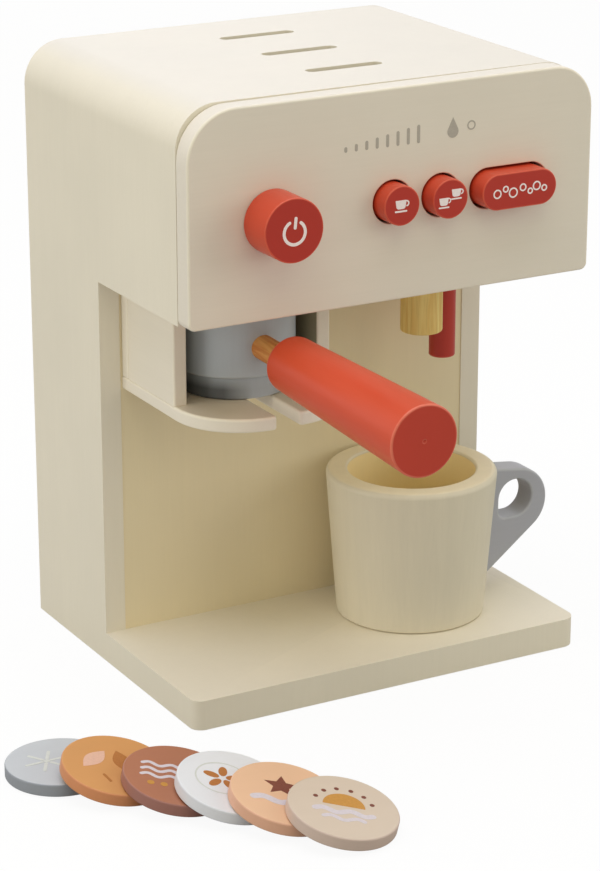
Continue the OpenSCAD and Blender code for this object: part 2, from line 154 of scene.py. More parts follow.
# Satin paint on wood: soft cloudy tone, brush marks and faint grain along one axis, a fine stipple.
# Rims take the edge colour as a painted rim highlight, faces square to an axis may take their own
# tone as painted light or shade, and shade(graph) says where painted shade darkens the paint
def paintedWood(name, colour, grain, roughness=0.5, tone=0.025, relief=0.15, edge=None, ends=None,
                shade=None, brush=0.18):
    material, graph, shader = startMaterial(name, {"Specular IOR Level": 0.42})
    along = {"x": (0.05, 1, 1), "y": (1, 0.05, 1), "z": (1, 1, 0.05)}[grain]
    plain = graph.stretch((1, 1, 1))
    clouds = graph.noise(plain, paintMarks["cloud"], 3, 0.55)
    brushed = graph.noise(graph.stretch(along), paintMarks["brush"], 2, 0.5)
    fibres = graph.noise(graph.stretch(along), paintMarks["fibre"], 3, 0.6, 0.3)
    stipple = graph.noise(plain, paintMarks["stipple"], 2, 0.6)
    cloudy = graph.remap(clouds * (1 - brush) + brushed * brush, 0.33, 0.67)
    base = graph.blend(cloudy, swatch(*colour, 1 - tone), swatch(*colour, 1 + tone))
    streak = graph.remap(fibres, 0.4, 0.8, 0.0, 0.35)
    base = graph.blend(streak, base, swatch(*colour, 1 - 2 * tone))
    # Faces square to the axis take the ends colour: painted light or shade for how light falls on them, and
    # on the coins partly the top's own colour
    if ends:
        facing = graph.node("ShaderNodeTexCoord", output="Normal")
        side = graph.node("ShaderNodeSeparateXYZ", {}, {0: facing}, ends[0])
        across = graph.node("ShaderNodeMath", {"operation": "ABSOLUTE"}, {0: side})
        axisFaceLightTone = graph.blend(cloudy, swatch(*ends[1], 1 - tone), swatch(*ends[1], 1 + tone))
        base = graph.blend(graph.remap(across, 0.75, 0.97), base, axisFaceLightTone)
    # Painted rim highlight: paler paint in patches on tight outward bends
    if edge:
        wear = graph.node("ShaderNodeAttribute", {"attribute_name": "wear"}, output="Fac")
        patchy = graph.noise(plain, paintMarks["wear"], 3, 0.6)
        rimHighlit = wear * graph.remap(patchy, 0.3, 0.6, 0.35, 0.8)
        base = graph.blend(rimHighlit, base, swatch(*edge))
    # Painted shade: the paint darkens towards deepest where shade(graph) says
    if shade:
        base = graph.blend(shade(graph), base, swatch(*colour, deepest))
    feed(graph, shader, "Base Color", base)
    gloss = graph.remap(clouds * 0.6 + fibres * 0.4, 0.3, 0.7, roughness - 0.05, roughness + 0.06)
    feed(graph, shader, "Roughness", gloss)
    height = fibres * 0.55 + stipple * 0.45
    bump = {"Strength": relief, "Distance": 0.00012, "Height": height}
    feed(graph, shader, "Normal", graph.node("ShaderNodeBump", {}, bump))
    return material


# Bare wood: growth rings across the grain, long fibres and small pores
def bareWood(name, pale, deep, grain):
    material, graph, shader = startMaterial(name, {"Specular IOR Level": 0.35})
    along = {"x": (0.06, 1, 1), "y": (1, 0.06, 1), "z": (1, 1, 0.06)}[grain]
    stretched = graph.stretch(along)
    rings = graph.noise(stretched, woodMarks["ring"], 2, 0.45, 1.2)
    fibres = graph.noise(stretched, woodMarks["fibre"], 3, 0.65)
    bands = graph.node("ShaderNodeMath", {"operation": "PINGPONG"}, {0: rings * 5, 1: 1.0})
    base = graph.blend(graph.remap(bands, 0.2, 0.95), swatch(*pale), swatch(*deep))
    base = graph.blend(graph.remap(fibres, 0.5, 0.8, 0, 0.55), base, swatch(*deep, 0.72))
    feed(graph, shader, "Base Color", base)
    feed(graph, shader, "Roughness", graph.remap(fibres, 0.3, 0.7, 0.51, 0.68))
    bump = {"Strength": 0.3, "Distance": 0.0001, "Height": fibres * 0.7 + bands * 0.3}
    feed(graph, shader, "Normal", graph.node("ShaderNodeBump", {}, bump))
    return material


# Bright zinc plate with fine drawn marks
def zincSteel(name):
    material, graph, shader = startMaterial(name, {"Metallic": 1.0})
    marks = graph.noise(graph.stretch((1, 1, 6)), steelMarks["drawn"], 2, 0.5)
    patches = graph.noise(graph.stretch((1, 1, 1)), steelMarks["patch"], 2, 0.5)
    base = graph.blend(patches, swatch(176, 181, 186), swatch(206, 209, 211))
    feed(graph, shader, "Base Color", base)
    feed(graph, shader, "Roughness", graph.remap(marks, 0.3, 0.7, 0.24, 0.42))
    return material


# Ink printed on paint: thin, slightly uneven cover
def printedInk(name, colour):
    material, graph, shader = startMaterial(name, {"Specular IOR Level": 0.4})
    speckle = graph.noise(graph.stretch((1, 1, 1)), inkSpeckle, 3, 0.6)
    cover = graph.remap(speckle, 0.3, 0.75)
    feed(graph, shader, "Base Color", graph.blend(cover, swatch(*colour, 1.03), swatch(*colour, 0.93)))
    feed(graph, shader, "Roughness", graph.remap(speckle, 0.3, 0.7, 0.4, 0.53))
    return material


# Rim colours: paler paint as a painted highlight where rounded edges catch the light
paleRimHighlight = (246, 238, 222)
pinkRimHighlight = (236, 128, 104)
glossy = {"roughness": 0.38, "tone": 0.03, "relief": 0.12}
paints = {
    "shell": paintedWood("creamShell", (236, 229, 214), "z", edge=paleRimHighlight),
    # The shell's upward faces are less yellow than its sides: painted light from above
    "shellTopLit": paintedWood("creamShellTopLit", (236, 229, 214), "z", edge=paleRimHighlight,
                            ends=("Z", (232, 226, 216))),
    "boardAcross": paintedWood("creamPanel", (233, 226, 215), "x", edge=paleRimHighlight),
    # Yellower than the shell's cream: painted warm bounce light in the recess
    "recess": paintedWood("creamRecessBounceLight", (238, 224, 190), "z"),
    "holder": paintedWood("creamHolder", (239, 231, 217), "y", edge=paleRimHighlight),
    # A darker copy of the holder's cream: painted shade for the walls' inner faces
    "holderInsideShade": paintedWood("creamHolderInsideShade", (176, 170, 142), "y"),
    # Faces that look up or down are darker: painted shade on the shelf's top by the cup
    "shelf": paintedWood("creamShelf", (240, 232, 219), "y", edge=paleRimHighlight, ends=("Z", (218, 208, 190))),
    # Faces that look up, such as the rim, are lighter: painted light from above
    "mug": paintedWood("creamMug", (222, 214, 195), "z", tone=0.035, edge=(236, 228, 208),
                       ends=("Z", (246, 235, 210)), brush=0.4),
    # Brighter and yellower than the mug's outside: painted warm bounce light in the hollow
    "mugInsideBounceLight": paintedWood("creamMugInsideBounceLight", (250, 230, 178), "z"),
    # The end faces are darker: painted shade on faces that look forwards and back
    "handle": paintedWood("redHandle", (213, 77, 44), "y", edge=pinkRimHighlight, ends=("Y", (196, 60, 40)),
                          **glossy),
    # Front and back faces are darker than the sides: painted shade on faces that look forwards; the buttons
    # share it
    "knob": paintedWood("redKnob", (208, 72, 44), "y", edge=(224, 100, 74), ends=("Y", (184, 50, 36)),
                        **glossy),
    "wand": paintedWood("redWand", (184, 52, 38), "z", edge=(214, 92, 72), **glossy),
    "grip": paintedWood("gripGrey", (174, 176, 188), "x", roughness=0.42, tone=0.035, relief=0.14,
                        edge=(182, 185, 192)),
    "spout": bareWood("spoutWood", (246, 222, 146), (234, 198, 118), "z"),
    "innerAcross": bareWood("dowelWood", (222, 160, 90), (198, 122, 60), "y"),
    "innerUpright": bareWood("battenWood", (224, 192, 138), (200, 160, 104), "z"),
    "steel": zincSteel("zincSteel"),
}
print("stage: paints mixed")


# Corners (u, v, radius) to a line of points with arcs, and a guard point beyond each arc's ends
def filleted(corners, closed=True, steps=5, guard=0.2):
    points = []
    count = len(corners)
    for i, corner in enumerate(corners):
        here = Vector(corner[:2])
        radius = corner[2] if len(corner) > 2 else 0
        if radius == 0:
            points.append(here)
            continue
        back = (Vector(corners[i - 1][:2]) - here).normalized()
        ahead = (Vector(corners[(i + 1) % count][:2]) - here).normalized()
        half = math.acos(max(-1.0, min(1.0, back.dot(ahead)))) / 2
        reach = radius / math.tan(half)
        centre = here + (back + ahead).normalized() * radius / math.sin(half)
        turn = math.copysign(math.pi - 2 * half, ahead.x * back.y - back.x * ahead.y)
        arm = here + back * reach - centre
        if guard:
            points.append(here + back * (reach + guard))
        for k in range(steps + 1):
            angle = turn * k / steps
            cos, sin = math.cos(angle), math.sin(angle)
            points.append(centre + Vector((arm.x * cos - arm.y * sin, arm.x * sin + arm.y * cos)))
        if guard:
            points.append(here + ahead * (reach + guard))
    apart = [p for i, p in enumerate(points) if (p - points[i - 1]).length > 0.01]
    return apart if closed else points


def circle(u, v, radius, steps=64):
    turns = [2 * math.pi * k / steps for k in range(steps)]
    return [Vector((u + radius * math.cos(t), v + radius * math.sin(t))) for t in turns]


def stadium(u, v, length, width, steps=24):
    r = width / 2
    ends = []
    for side, start in ((1, -math.pi / 2), (-1, math.pi / 2)):
        for k in range(steps + 1):
            t = start + math.pi * k / steps
            ends.append(Vector((u + side * (length / 2 - r) + r * math.cos(t), v + r * math.sin(t))))
    return ends


# Moves a closed counter-clockwise loop inwards; a minus amount moves it outwards
def insetLoop(loop, amount):
    if amount == 0:
        return loop
    moved = []
    for i, here in enumerate(loop):
        came = (here - loop[i - 1]).normalized()
        goes = (loop[(i + 1) % len(loop)] - here).normalized()
        left = Vector((-came.y, came.x))
        middle = (left + Vector((-goes.y, goes.x))).normalized()
        moved.append(here + middle * amount / max(0.3, middle.dot(left)))
    return moved


# (inset, height) rings from one face to the other, with a round rim at each and guard rings
def rims(low, high, lowRim, highRim, steps=4, guard=0.2):
    rings = []
    for level, rim, sign in ((low, lowRim, 1), (high, highRim, -1)):
        side = []
        if rim:
            side.append((rim + guard, level))
            for k in range(steps + 1):
                t = math.pi / 2 * k / steps
                side.append((rim * (1 - math.sin(t)), level + sign * rim * (1 - math.cos(t))))
            side.append((0, level + sign * (rim + guard)))
        else:
            side.append((0, level))
        rings += side if sign == 1 else side[::-1]
    return rings


def onXy(u, v, w):
    return (u, v, w)


def onXz(u, v, w):
    return (u, w, v)


def onYz(u, v, w):
    return (w, u, v)


# A closed board from an outline, its rings and its holes (each a loop with its own rings)
def board(outline, rings, place, holes=()):
    points, faces, capLow, capHigh = [], [], [], []
    for loop, levels, sign in [(outline, rings, 1)] + [(h[0], h[1], -1) for h in holes]:
        start, count = len(points), len(loop)
        for amount, level in levels:
            points += [place(p.x, p.y, level) for p in insetLoop(loop, sign * amount)]
        for ring in range(len(levels) - 1):
            for k in range(count):
                a, b = start + ring * count + k, start + ring * count + (k + 1) % count
                faces.append((a, b, b + count, a + count))
        capLow.append(list(range(start, start + count)))
        last = start + (len(levels) - 1) * count
        capHigh.append(list(range(last, last + count)))
    for cap in (capLow, capHigh):
        if len(cap) == 1 and len(cap[0]) < 5:
            faces.append(tuple(cap[0]))
            continue
        flat = [i for loop in cap for i in loop]
        loops = [[Vector(points[i]) for i in loop] for loop in cap]
        faces += [tuple(flat[i] for i in face) for face in geometry.tessellate_polygon(loops)]
    return points, faces


# A board with plain upright faces, for cutting and joining
def prism(outline, low, high, place):
    return board(outline, [(0, low), (0, high)], place)


# A box with round upright edges and small rims
def softBox(low, high, radius, rim):
    corners = [(low.x, low.y), (high.x, low.y), (high.x, high.y), (low.x, high.y)]
    outline = filleted([(*c, radius) for c in corners], steps=4)
    return board(outline, rims(low.z, high.z, rim, rim), onXy)


# A shape turned on a lathe from its (radius, height) profile; the ends lie on the axis
def turned(profile, axis, steps=96):
    points, faces, rings = [], [], []
    for p in filleted(profile, closed=False):
        count = 1 if p.x < 1e-6 else steps
        rings.append((len(points), count))
        for k in range(count):
            t = 2 * math.pi * k / steps
            points.append(tuple(axis @ Vector((p.x * math.cos(t), p.x * math.sin(t), p.y))))
    for (a, countA), (b, countB) in zip(rings, rings[1:]):
        for k in range(steps):
            n = (k + 1) % steps
            corners = [a + k % countA, a + n % countA, b + n % countB, b + k % countB]
            face = tuple(dict.fromkeys(corners))
            if len(face) > 2:
                faces.append(face)
    return points, faces


def gathered(*shapes):
    points, faces = [], []
    for shapePoints, shapeFaces in shapes:
        start = len(points)
        points += shapePoints
        faces += [tuple(i + start for i in face) for face in shapeFaces]
    return points, faces


# Makes a mesh in metres, with outward normals and sharp edges only where the shape has them
def meshOf(name, shape):
    mesh = bpy.data.meshes.new(name)
    mesh.from_pydata([tuple(c * mm for c in p) for p in shape[0]], [], shape[1])
    cleanMesh(mesh)
    return mesh


def cleanMesh(mesh):
    work = bmesh.new()
    work.from_mesh(mesh)
    bmesh.ops.remove_doubles(work, verts=work.verts, dist=weld)
    bmesh.ops.recalc_face_normals(work, faces=work.faces)
    work.to_mesh(mesh)
    work.free()
    mesh.shade_smooth()
    mesh.set_sharp_from_angle(angle=crease)


rimHighlightBend = {"loose": 0.3, "tight": 1.0}  # bend in radians per mm where the painted rim highlight begins and is full


# Marks where a mesh bends outwards in a tight curve, so paint can carry a painted rim highlight there
def markRimHighlight(mesh):
    beside = {}
    for polygon in mesh.polygons:
        for key in polygon.edge_keys:
            beside.setdefault(key, []).append(polygon)
    wear = [0.0] * len(mesh.vertices)
    for key, pair in beside.items():
        if len(pair) != 2:
            continue
        across = pair[1].center - pair[0].center
        bend = pair[0].normal.angle(pair[1].normal, 0.0)
        if bend < 0.05 or across.dot(pair[0].normal) > 0:
            continue
        curve = bend / max(across.length / mm, 0.05)
        share = (curve - rimHighlightBend["loose"]) / (rimHighlightBend["tight"] - rimHighlightBend["loose"])
        amount = min(1.0, max(0.0, share))
        for i in key:
            wear[i] = max(wear[i], amount)
    layer = mesh.attributes.new("wear", "FLOAT", "POINT")
    layer.data.foreach_set("value", wear)


def linked(name, mesh):
    thing = bpy.data.objects.new(name, mesh)
    bpy.context.scene.collection.objects.link(thing)
    return thing


# The mesh that an object has once its modifiers are worked out; the object is then removed
def settled(thing):
    bpy.context.view_layer.update()
    graph = bpy.context.evaluated_depsgraph_get()
    mesh = bpy.data.meshes.new_from_object(thing.evaluated_get(graph))
    bpy.data.objects.remove(thing)
    return mesh


def combined(mesh, tools, operation):
    thing = linked("work", mesh)
    helpers = []
    for shape in tools:
        helper = linked("tool", meshOf("tool", shape))
        helpers.append(helper)
        step = thing.modifiers.new("step", "BOOLEAN")
        step.operation = operation
        step.solver = "EXACT"
        step.object = helper
    mesh = settled(thing)
    for helper in helpers:
        bpy.data.objects.remove(helper)
    return mesh


# Puts a piece in the scene: it rides on a body and may stand for CAD nodes; a slot other than steel has its
# rim bends marked for the painted rim highlight
def piece(name, mesh, body, material, slot, nodes=()):
    thing = linked(name, mesh)
    if slot != "steel":
        markRimHighlight(mesh)
    mesh.materials.clear()
    mesh.materials.append(material)
    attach(thing, body)
    if nodes:
        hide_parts(*nodes)
    return thing


def solid(name, shape, body, material, slot, nodes=()):
    return piece(name, meshOf(name, shape), body, material, slot, nodes)


# Gives a piece a second finish on the faces that the test picks; each one used here is painted light or
# shade
def secondFinish(thing, material, picks):
    thing.data.materials.append(material)
    for face in thing.data.polygons:
        if picks(face):
            face.material_index = 1


def span(node):
    low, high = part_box(node)
    return low / mm, high / mm


def centre(node):
    low, high = span(node)
    return (low + high) / 2


# The corners of an upright rectangle, counter-clockwise from the lower left, each with its radius
def rect(low, high, radii):
    a, b, c, d = radii
    return [(low[0], low[1], a), (high[0], low[1], b), (high[0], high[1], c), (low[0], high[1], d)]


# The painted shell: base, two sides and the top, cut from one block as the paint hides the joints
shell = {
    "board": 9.0,
    "topRadius": 17.0,
    "innerRadius": 8.0,
    "baseRadii": (5.0, 6.2),
    "uprightFront": 6.5,
    "edge": 0.9,
    "edgeSteps": 3,
    "edgeShares": {"screw": 0.12, "slot": 0.45, "seam": 0.35, "back": 0.5},
    "seam": 0.35,
    "slotLength": 34.0,
    "slotWidth": 5.6,
    "slotPlaces": (39.5, 3.8, -31.9),
    "screwPlaces": ((-85.5, 18.5), (-85.5, 60.5), (85.5, 18.5), (85.5, 60.5)),
    "screw": 3.5,
    "screwLength": 30.0,
    "screwSlack": 0.05,
    "topLitFrom": 200.0,
}
past = 5.0  # how far a cutting block reaches beyond the wood
flush = 0.05  # how far a screw's head lies below the wood's face


# Says how wide each outward edge of a mesh is rounded, by the share that weigh(middle) gives
def edgeWeights(mesh, weigh):
    work = bmesh.new()
    work.from_mesh(mesh)
    bmesh.ops.remove_doubles(work, verts=work.verts, dist=weld)
    bmesh.ops.dissolve_limit(work, angle_limit=math.radians(0.4), verts=work.verts, edges=work.edges)
    layer = work.edges.layers.float.new("bevel_weight_edge")
    for edge in work.edges:
        if len(edge.link_faces) == 2 and edge.calc_face_angle_signed() > math.radians(25):
            edge[layer] = weigh((edge.verts[0].co + edge.verts[1].co) / 2 / mm)
    work.to_mesh(mesh)
    work.free()


def bevelled(mesh, width, segments):
    thing = linked("work", mesh)
    step = thing.modifiers.new("round", "BEVEL")
    step.limit_method = "WEIGHT"
    step.width = width * mm
    step.segments = segments
    step.use_clamp_overlap = True
    step.harden_normals = True
    mesh.shade_smooth()
    mesh.set_sharp_from_angle(angle=crease)
    return settled(thing)


def buildShell():
    low, high = span("base_board")
    topLow, topHigh = span("top_board")
    headZ = span("front_panel")[0].z
    upright = shell["uprightFront"]
    headY = topLow.y + shell["seam"]
    profile = [
        (low.y, 0), (high.y, 0), (high.y, topHigh.z), (headY, topHigh.z),
        (headY, headZ), (upright, headZ), (upright, high.z), (low.y, high.z),
    ]
    block = meshOf("shell", prism([Vector(p) for p in profile], low.x, high.x, onYz))
    r = shell["topRadius"]
    front = filleted(rect((low.x, -past), (high.x, topHigh.z), (0, 0, r, r)), steps=20, guard=0)
    block = combined(block, [prism(front, low.y - past, high.y + past, onXz)], "INTERSECT")
    left, right = shell["baseRadii"]
    plan = filleted(rect((low.x, low.y), (high.x, high.y + past), (left, right, 0, 0)), steps=10, guard=0)
    block = combined(block, [prism(plan, -past, topHigh.z + past, onXy)], "INTERSECT")
    r = shell["innerRadius"]
    inner = high.x - shell["board"]
    tunnel = filleted(
        rect((-inner, high.z), (inner, topHigh.z - shell["board"]), (0, 0, r, r)), steps=12, guard=0
    )
    cuts = [prism(tunnel, low.y - past, high.y + past, onXz)]
    slotBottom = topHigh.z - shell["board"] - past
    for y in shell["slotPlaces"]:
        slot = stadium(0, y, shell["slotLength"], shell["slotWidth"], 14)
        cuts.append(prism(slot, slotBottom, topHigh.z + past, onXy))
    d, length = shell["screw"], shell["screwLength"]
    wide, narrow = d + shell["screwSlack"], d / 2 + shell["screwSlack"]
    sink = [(0, -1), (wide, -1), (wide, 0), (narrow, d / 2), (narrow, length), (0, length)]
    for x, y in shell["screwPlaces"]:
        cuts.append(turned(sink, Matrix.Translation((x, y, 0)), 32))
    block = combined(block, cuts, "DIFFERENCE")

    near = 1.0

    # The share of the full rounding that an edge gets, from where its middle lies
    def weigh(at):
        shares = shell["edgeShares"]
        byScrew = any(math.hypot(at.x - x, at.y - y) < wide + near for x, y in shell["screwPlaces"])
        if at.z < d and byScrew:
            return shares["screw"]
        alongSlot = abs(at.x) < shell["slotLength"] / 2 + near
        acrossSlot = any(abs(at.y - y) < shell["slotWidth"] / 2 + near for y in shell["slotPlaces"])
        if at.z > slotBottom and alongSlot and acrossSlot:
            return shares["slot"]
        if abs(at.y - headY) < near / 2:
            return shares["seam"]
        return shares["back"] if at.y > high.y - near else 1.0

    edgeWeights(block, weigh)
    return bevelled(block, shell["edge"], shell["edgeSteps"])


shellPiece = piece(
    "cabinetShell", buildShell(), "cabinet", paints["shell"], "cream_paint",
    ("base_board", "left_side", "right_side", "top_board"),
)
# Faces high on the shell take the top paint, whose upward faces carry painted light
secondFinish(shellPiece, paints["shellTopLit"], lambda face: face.center.z > shell["topLitFrom"] * mm)
print("stage: shell cut")


# The front panel: a thick board with a soft front rim, the button holes and the shaft's hole
panel = {"leftRadius": 20.5, "rightRadius": 17.5, "lowRadius": 3.0, "rim": 0.9, "backRim": 0.3,
         "drop": 0.6, "holeRim": 0.45, "holeBackRim": 0.2, "gap": 1.2, "roundButton": 7.5,
         "longButton": (34.0, 14.0), "shaftHole": 4.08}
frontLow, frontHigh = span("front_panel")
controlNodes = ("one_cup_button", "two_cup_button", "foam_button", "power_knob")
controls = {name: centre(name) for name in controlNodes}


def buildPanel():
    low, high, gap = frontLow, frontHigh, panel["gap"]
    corner = panel["lowRadius"]
    radii = (corner, corner, panel["rightRadius"], panel["leftRadius"])
    corners = rect((low.x, low.z), (high.x, high.z), radii)
    corners[3] = (low.x, high.z - panel["drop"], panel["leftRadius"])
    outline = filleted(corners, steps=14)
    rings = rims(low.y, high.y, panel["rim"], panel["backRim"], 5)
    holeRings = rims(low.y, high.y, panel["holeRim"], panel["holeBackRim"], steps=3, guard=0.15)
    holes = []
    for name in ("one_cup_button", "two_cup_button"):
        at = controls[name]
        holes.append((circle(at.x, at.z, panel["roundButton"] + gap), holeRings))
    at = controls["foam_button"]
    length, width = panel["longButton"]
    holes.append((stadium(at.x, at.z, length + 2 * gap, width + 2 * gap), holeRings))
    at = controls["power_knob"]
    holes.append((circle(at.x, at.z, panel["shaftHole"], 40), holeRings))
    return board(outline, rings, onXz, holes)


solid("frontPanel", buildPanel(), "cabinet", paints["boardAcross"], "cream_paint", ("front_panel",))


# The back board, let in flush between the sides, with countersunk screw holes
backing = {"radius": 8.0, "rim": 0.5, "innerRim": 0.2, "gap": 0.12, "screw": 3.0, "screwSlack": 0.05,
           "screws": [(x, z) for x in (-76, 76) for z in (32.5, 121.75, 211)]}


def buildBack():
    low, high = span("back_board")
    r, gap, d, slack = backing["radius"], backing["gap"], backing["screw"], backing["screwSlack"]
    outline = filleted(
        rect((low.x + gap, low.z + gap), (high.x - gap, high.z - gap), (0, 0, r, r)), steps=10
    )
    sink = [(slack, low.y), (slack, high.y - d / 2), (d / 2 + slack, high.y)]
    holes = [(circle(x, z, d / 2, 32), sink) for x, z in backing["screws"]]
    return board(outline, rims(low.y, high.y, backing["innerRim"], backing["rim"]), onXz, holes)


solid("backBoard", buildBack(), "cabinet", paints["shell"], "cream_paint", ("back_board",))


cupLow, cupHigh = span("filter_cup")
cupAt = Vector(((cupLow.x + cupHigh.x) / 2, (cupLow.y + cupHigh.y) / 2, cupLow.z))

# The group holder: a back, two walls and a round-fronted shelf with a notch for the dowel
holder = {"wallRadius": 0.9, "seam": 0.15, "backRadius": 0.6, "backLift": 0.1, "shelfRadius": 28.0,
          "shelfRim": 0.9, "shelfTopRim": 1.0, "notch": 5.0, "notchCorner": 1.6,
          "screws": ((-62.5, 143.2), (-27.5, 143.2))}
for name, node in (("holderLeftWall", "holder_left_wall"), ("holderRightWall", "holder_right_wall")):
    low, high = span(node)
    shape = softBox(low, high, holder["wallRadius"], holder["seam"])
    wall = solid(name, shape, "cabinet", paints["holder"], "cream_paint", (node,))
    inner = 1 if low.x + high.x < 2 * cupAt.x else -1
    # The inner faces take the dark copy: painted shade
    secondFinish(wall, paints["holderInsideShade"], lambda face: face.normal.x * inner > 0.9)

low, high = span("holder_back")
shape = softBox(low + Vector((0, 0, holder["backLift"])), high, holder["backRadius"], holder["seam"])
solid("holderBack", shape, "cabinet", paints["holder"], "cream_paint", ("holder_back",))


def buildShelf():
    low, high = span("holder_shelf")
    middle = (low.x + high.x) / 2
    notch, corner, r = holder["notch"], holder["notchCorner"], holder["shelfRadius"]
    end = cupAt.y
    bend = notch * 0.999  # the two arcs of the notch's round end stop just short of each other
    outline = filleted([
        (low.x, high.y), (low.x, low.y, r), (middle - notch, low.y, corner),
        (middle - notch, end + notch, bend), (middle + notch, end + notch, bend),
        (middle + notch, low.y, corner), (high.x, low.y, r), (high.x, high.y),
    ], steps=12, guard=0)
    return board(outline, rims(low.z, high.z, holder["shelfRim"], holder["shelfTopRim"]), onXy)


solid("holderShelf", buildShelf(), "cabinet", paints["shelf"], "cream_paint", ("holder_shelf",))
print("stage: boards made")


# Red pieces on the front: knob, round buttons and the long button; a lathe's axis faces forwards
def facing(at):
    return Matrix.Translation((at.x, 0, at.z)) @ Matrix.Rotation(math.radians(90), 4, "X")


knob = {"rim": 0.4, "backRim": 0.5}
low, high = span("power_knob")
radius = (high.x - low.x) / 2
knobShape = turned(
    [(0, -high.y), (radius, -high.y, knob["backRim"]), (radius, -low.y, knob["rim"]), (0, -low.y)],
    facing(controls["power_knob"]),
)
solid("powerKnob", knobShape, "knob", paints["knob"], "red_paint", ("power_knob",))

button = {"radius": 7.85, "rim": 0.4, "flange": 9.9, "flangeRim": 0.3, "flangeThick": 3.0, "setBack": 0.8,
          "long": 34.2, "wide": 14.4}
for name, node, body in (("oneCupButton", "one_cup_button", "one_cup"),
                         ("twoCupButton", "two_cup_button", "two_cup")):
    low, high = span(node)
    flange, flangeRim, r = button["flange"], button["flangeRim"], button["radius"]
    flangeAt = button["flangeThick"] - high.y
    faceAt = -low.y - button["setBack"]
    shape = turned(
        [(0, -high.y), (flange, -high.y, flangeRim), (flange, flangeAt, flangeRim), (r, flangeAt),
         (r, faceAt, button["rim"]), (0, faceAt)],
        facing(controls[node]),
    )
    solid(name, shape, body, paints["knob"], "red_paint", (node,))

low, high = span("foam_button")
at = controls["foam_button"]
flangeAt = high.y - button["flangeThick"]
step = button["flange"] - panel["roundButton"]
foamRings = rims(low.y, flangeAt, button["rim"], 0)
foamRings += [(-step, flangeAt), (-step, high.y)]
foamShape = board(stadium(at.x, at.z, button["long"], button["wide"]), foamRings, onXz)
solid("foamButton", foamShape, "foam", paints["knob"], "red_paint", ("foam_button",))
print("stage: controls made")


# The filter: a turned cup with a stepped foot, a dowel and a long tapering handle
filterSet = {"cupRadius": 24.5, "footStep": 2.0, "foot": 9.0, "wall": 5.0, "floor": 9.0,
             "sole": 3.0, "soleDeep": 0.6, "link": 5.0, "gap": 21.0, "length": 99.5, "inner": 11.2,
             "outer": 14.0, "innerRim": 3.2, "outerRim": 0.7, "dimple": 0.9, "dimpleDeep": 0.2,
             "droop": 1.1, "linkSink": 20.0, "axisHeight": 144.9}
# Where the shade fades out: across the cup in shares of its radius, and in metres above the foot's top
cupShading = {"foot": (-0.15, 0.32), "side": (-1.0, -0.62), "height": (-0.005, 0.0006), "least": 0.15}


# Painted shade on the cup: darker on the foot, most of all to the left, and beside the left wall
def cupPaintedShade(graph):
    where = graph.node("ShaderNodeTexCoord", output="Object")
    parts = graph.node("ShaderNodeSeparateXYZ", {}, {0: where}, "X").socket.node
    x, y, z = (Wire(graph, parts.outputs[k]) for k in range(3))
    offset = (x - cupAt.x * mm) * rightward.x + (y - cupAt.y * mm) * rightward.y
    across = offset / (filterSet["cupRadius"] * mm)
    top = (cupAt.z + filterSet["foot"]) * mm
    below, above = cupShading["height"]
    low = graph.remap(z, top + below, top + above, 1, 0)
    foot = low * graph.remap(across, *cupShading["foot"], 1.0, cupShading["least"])
    beside = graph.remap(across, *cupShading["side"], 1.0, 0)
    return graph.maths("MAXIMUM", foot, beside)


cupPaint = paintedWood("filterGrey", (184, 191, 200), "z", roughness=0.36, tone=0.04, relief=0.12,
                       edge=(198, 204, 210), shade=cupPaintedShade)


def buildCup():
    r, h = filterSet["cupRadius"], cupHigh.z - cupLow.z
    foot, wall, floor = filterSet["foot"], filterSet["wall"], filterSet["floor"]
    sole, deep = filterSet["sole"], filterSet["soleDeep"]
    narrow = r - filterSet["footStep"]
    profile = [
        (0, deep), (narrow - sole, deep, 0.3), (narrow - sole + deep, 0, 0.3), (narrow, 0, 0.8),
        (narrow, foot, 0.5), (r, foot, 1.2), (r, h, 1.1), (r - wall, h, 0.9), (r - wall, floor, 1.5),
        (0, floor),
    ]
    return turned(profile, Matrix.Translation(cupAt))


def alongHandle():
    tilt = Matrix.Rotation(math.radians(90 + filterSet["droop"]), 4, "X")
    return Matrix.Translation((cupAt.x, cupAt.y, filterSet["axisHeight"])) @ tilt


def buildHandle():
    start = filterSet["cupRadius"] + filterSet["gap"]
    end = start + filterSet["length"]
    dimple, bottom = filterSet["dimple"], end - filterSet["dimpleDeep"]
    profile = [
        (0, start), (filterSet["inner"], start, filterSet["innerRim"]),
        (filterSet["outer"], end, filterSet["outerRim"]), (dimple, end, 0.3),
        (dimple - 0.4, bottom, 0.2), (0, bottom),
    ]
    return turned(profile, alongHandle())


def buildLink():
    start = filterSet["cupRadius"] - filterSet["wall"] + 0.2
    end = filterSet["cupRadius"] + filterSet["gap"] + filterSet["linkSink"]
    r = filterSet["link"]
    return turned([(0, start), (r, start, 0.3), (r, end, 0.3), (0, end)], alongHandle(), 48)


solid("filterCup", buildCup(), "filter", cupPaint, "filter_grey_paint", ("filter_cup",))
solid("filterHandle", buildHandle(), "filter", paints["handle"], "red_paint", ("filter_handle",))
solid("filterDowel", buildLink(), "filter", paints["innerAcross"], "plain_wood", ("filter_dowel",))


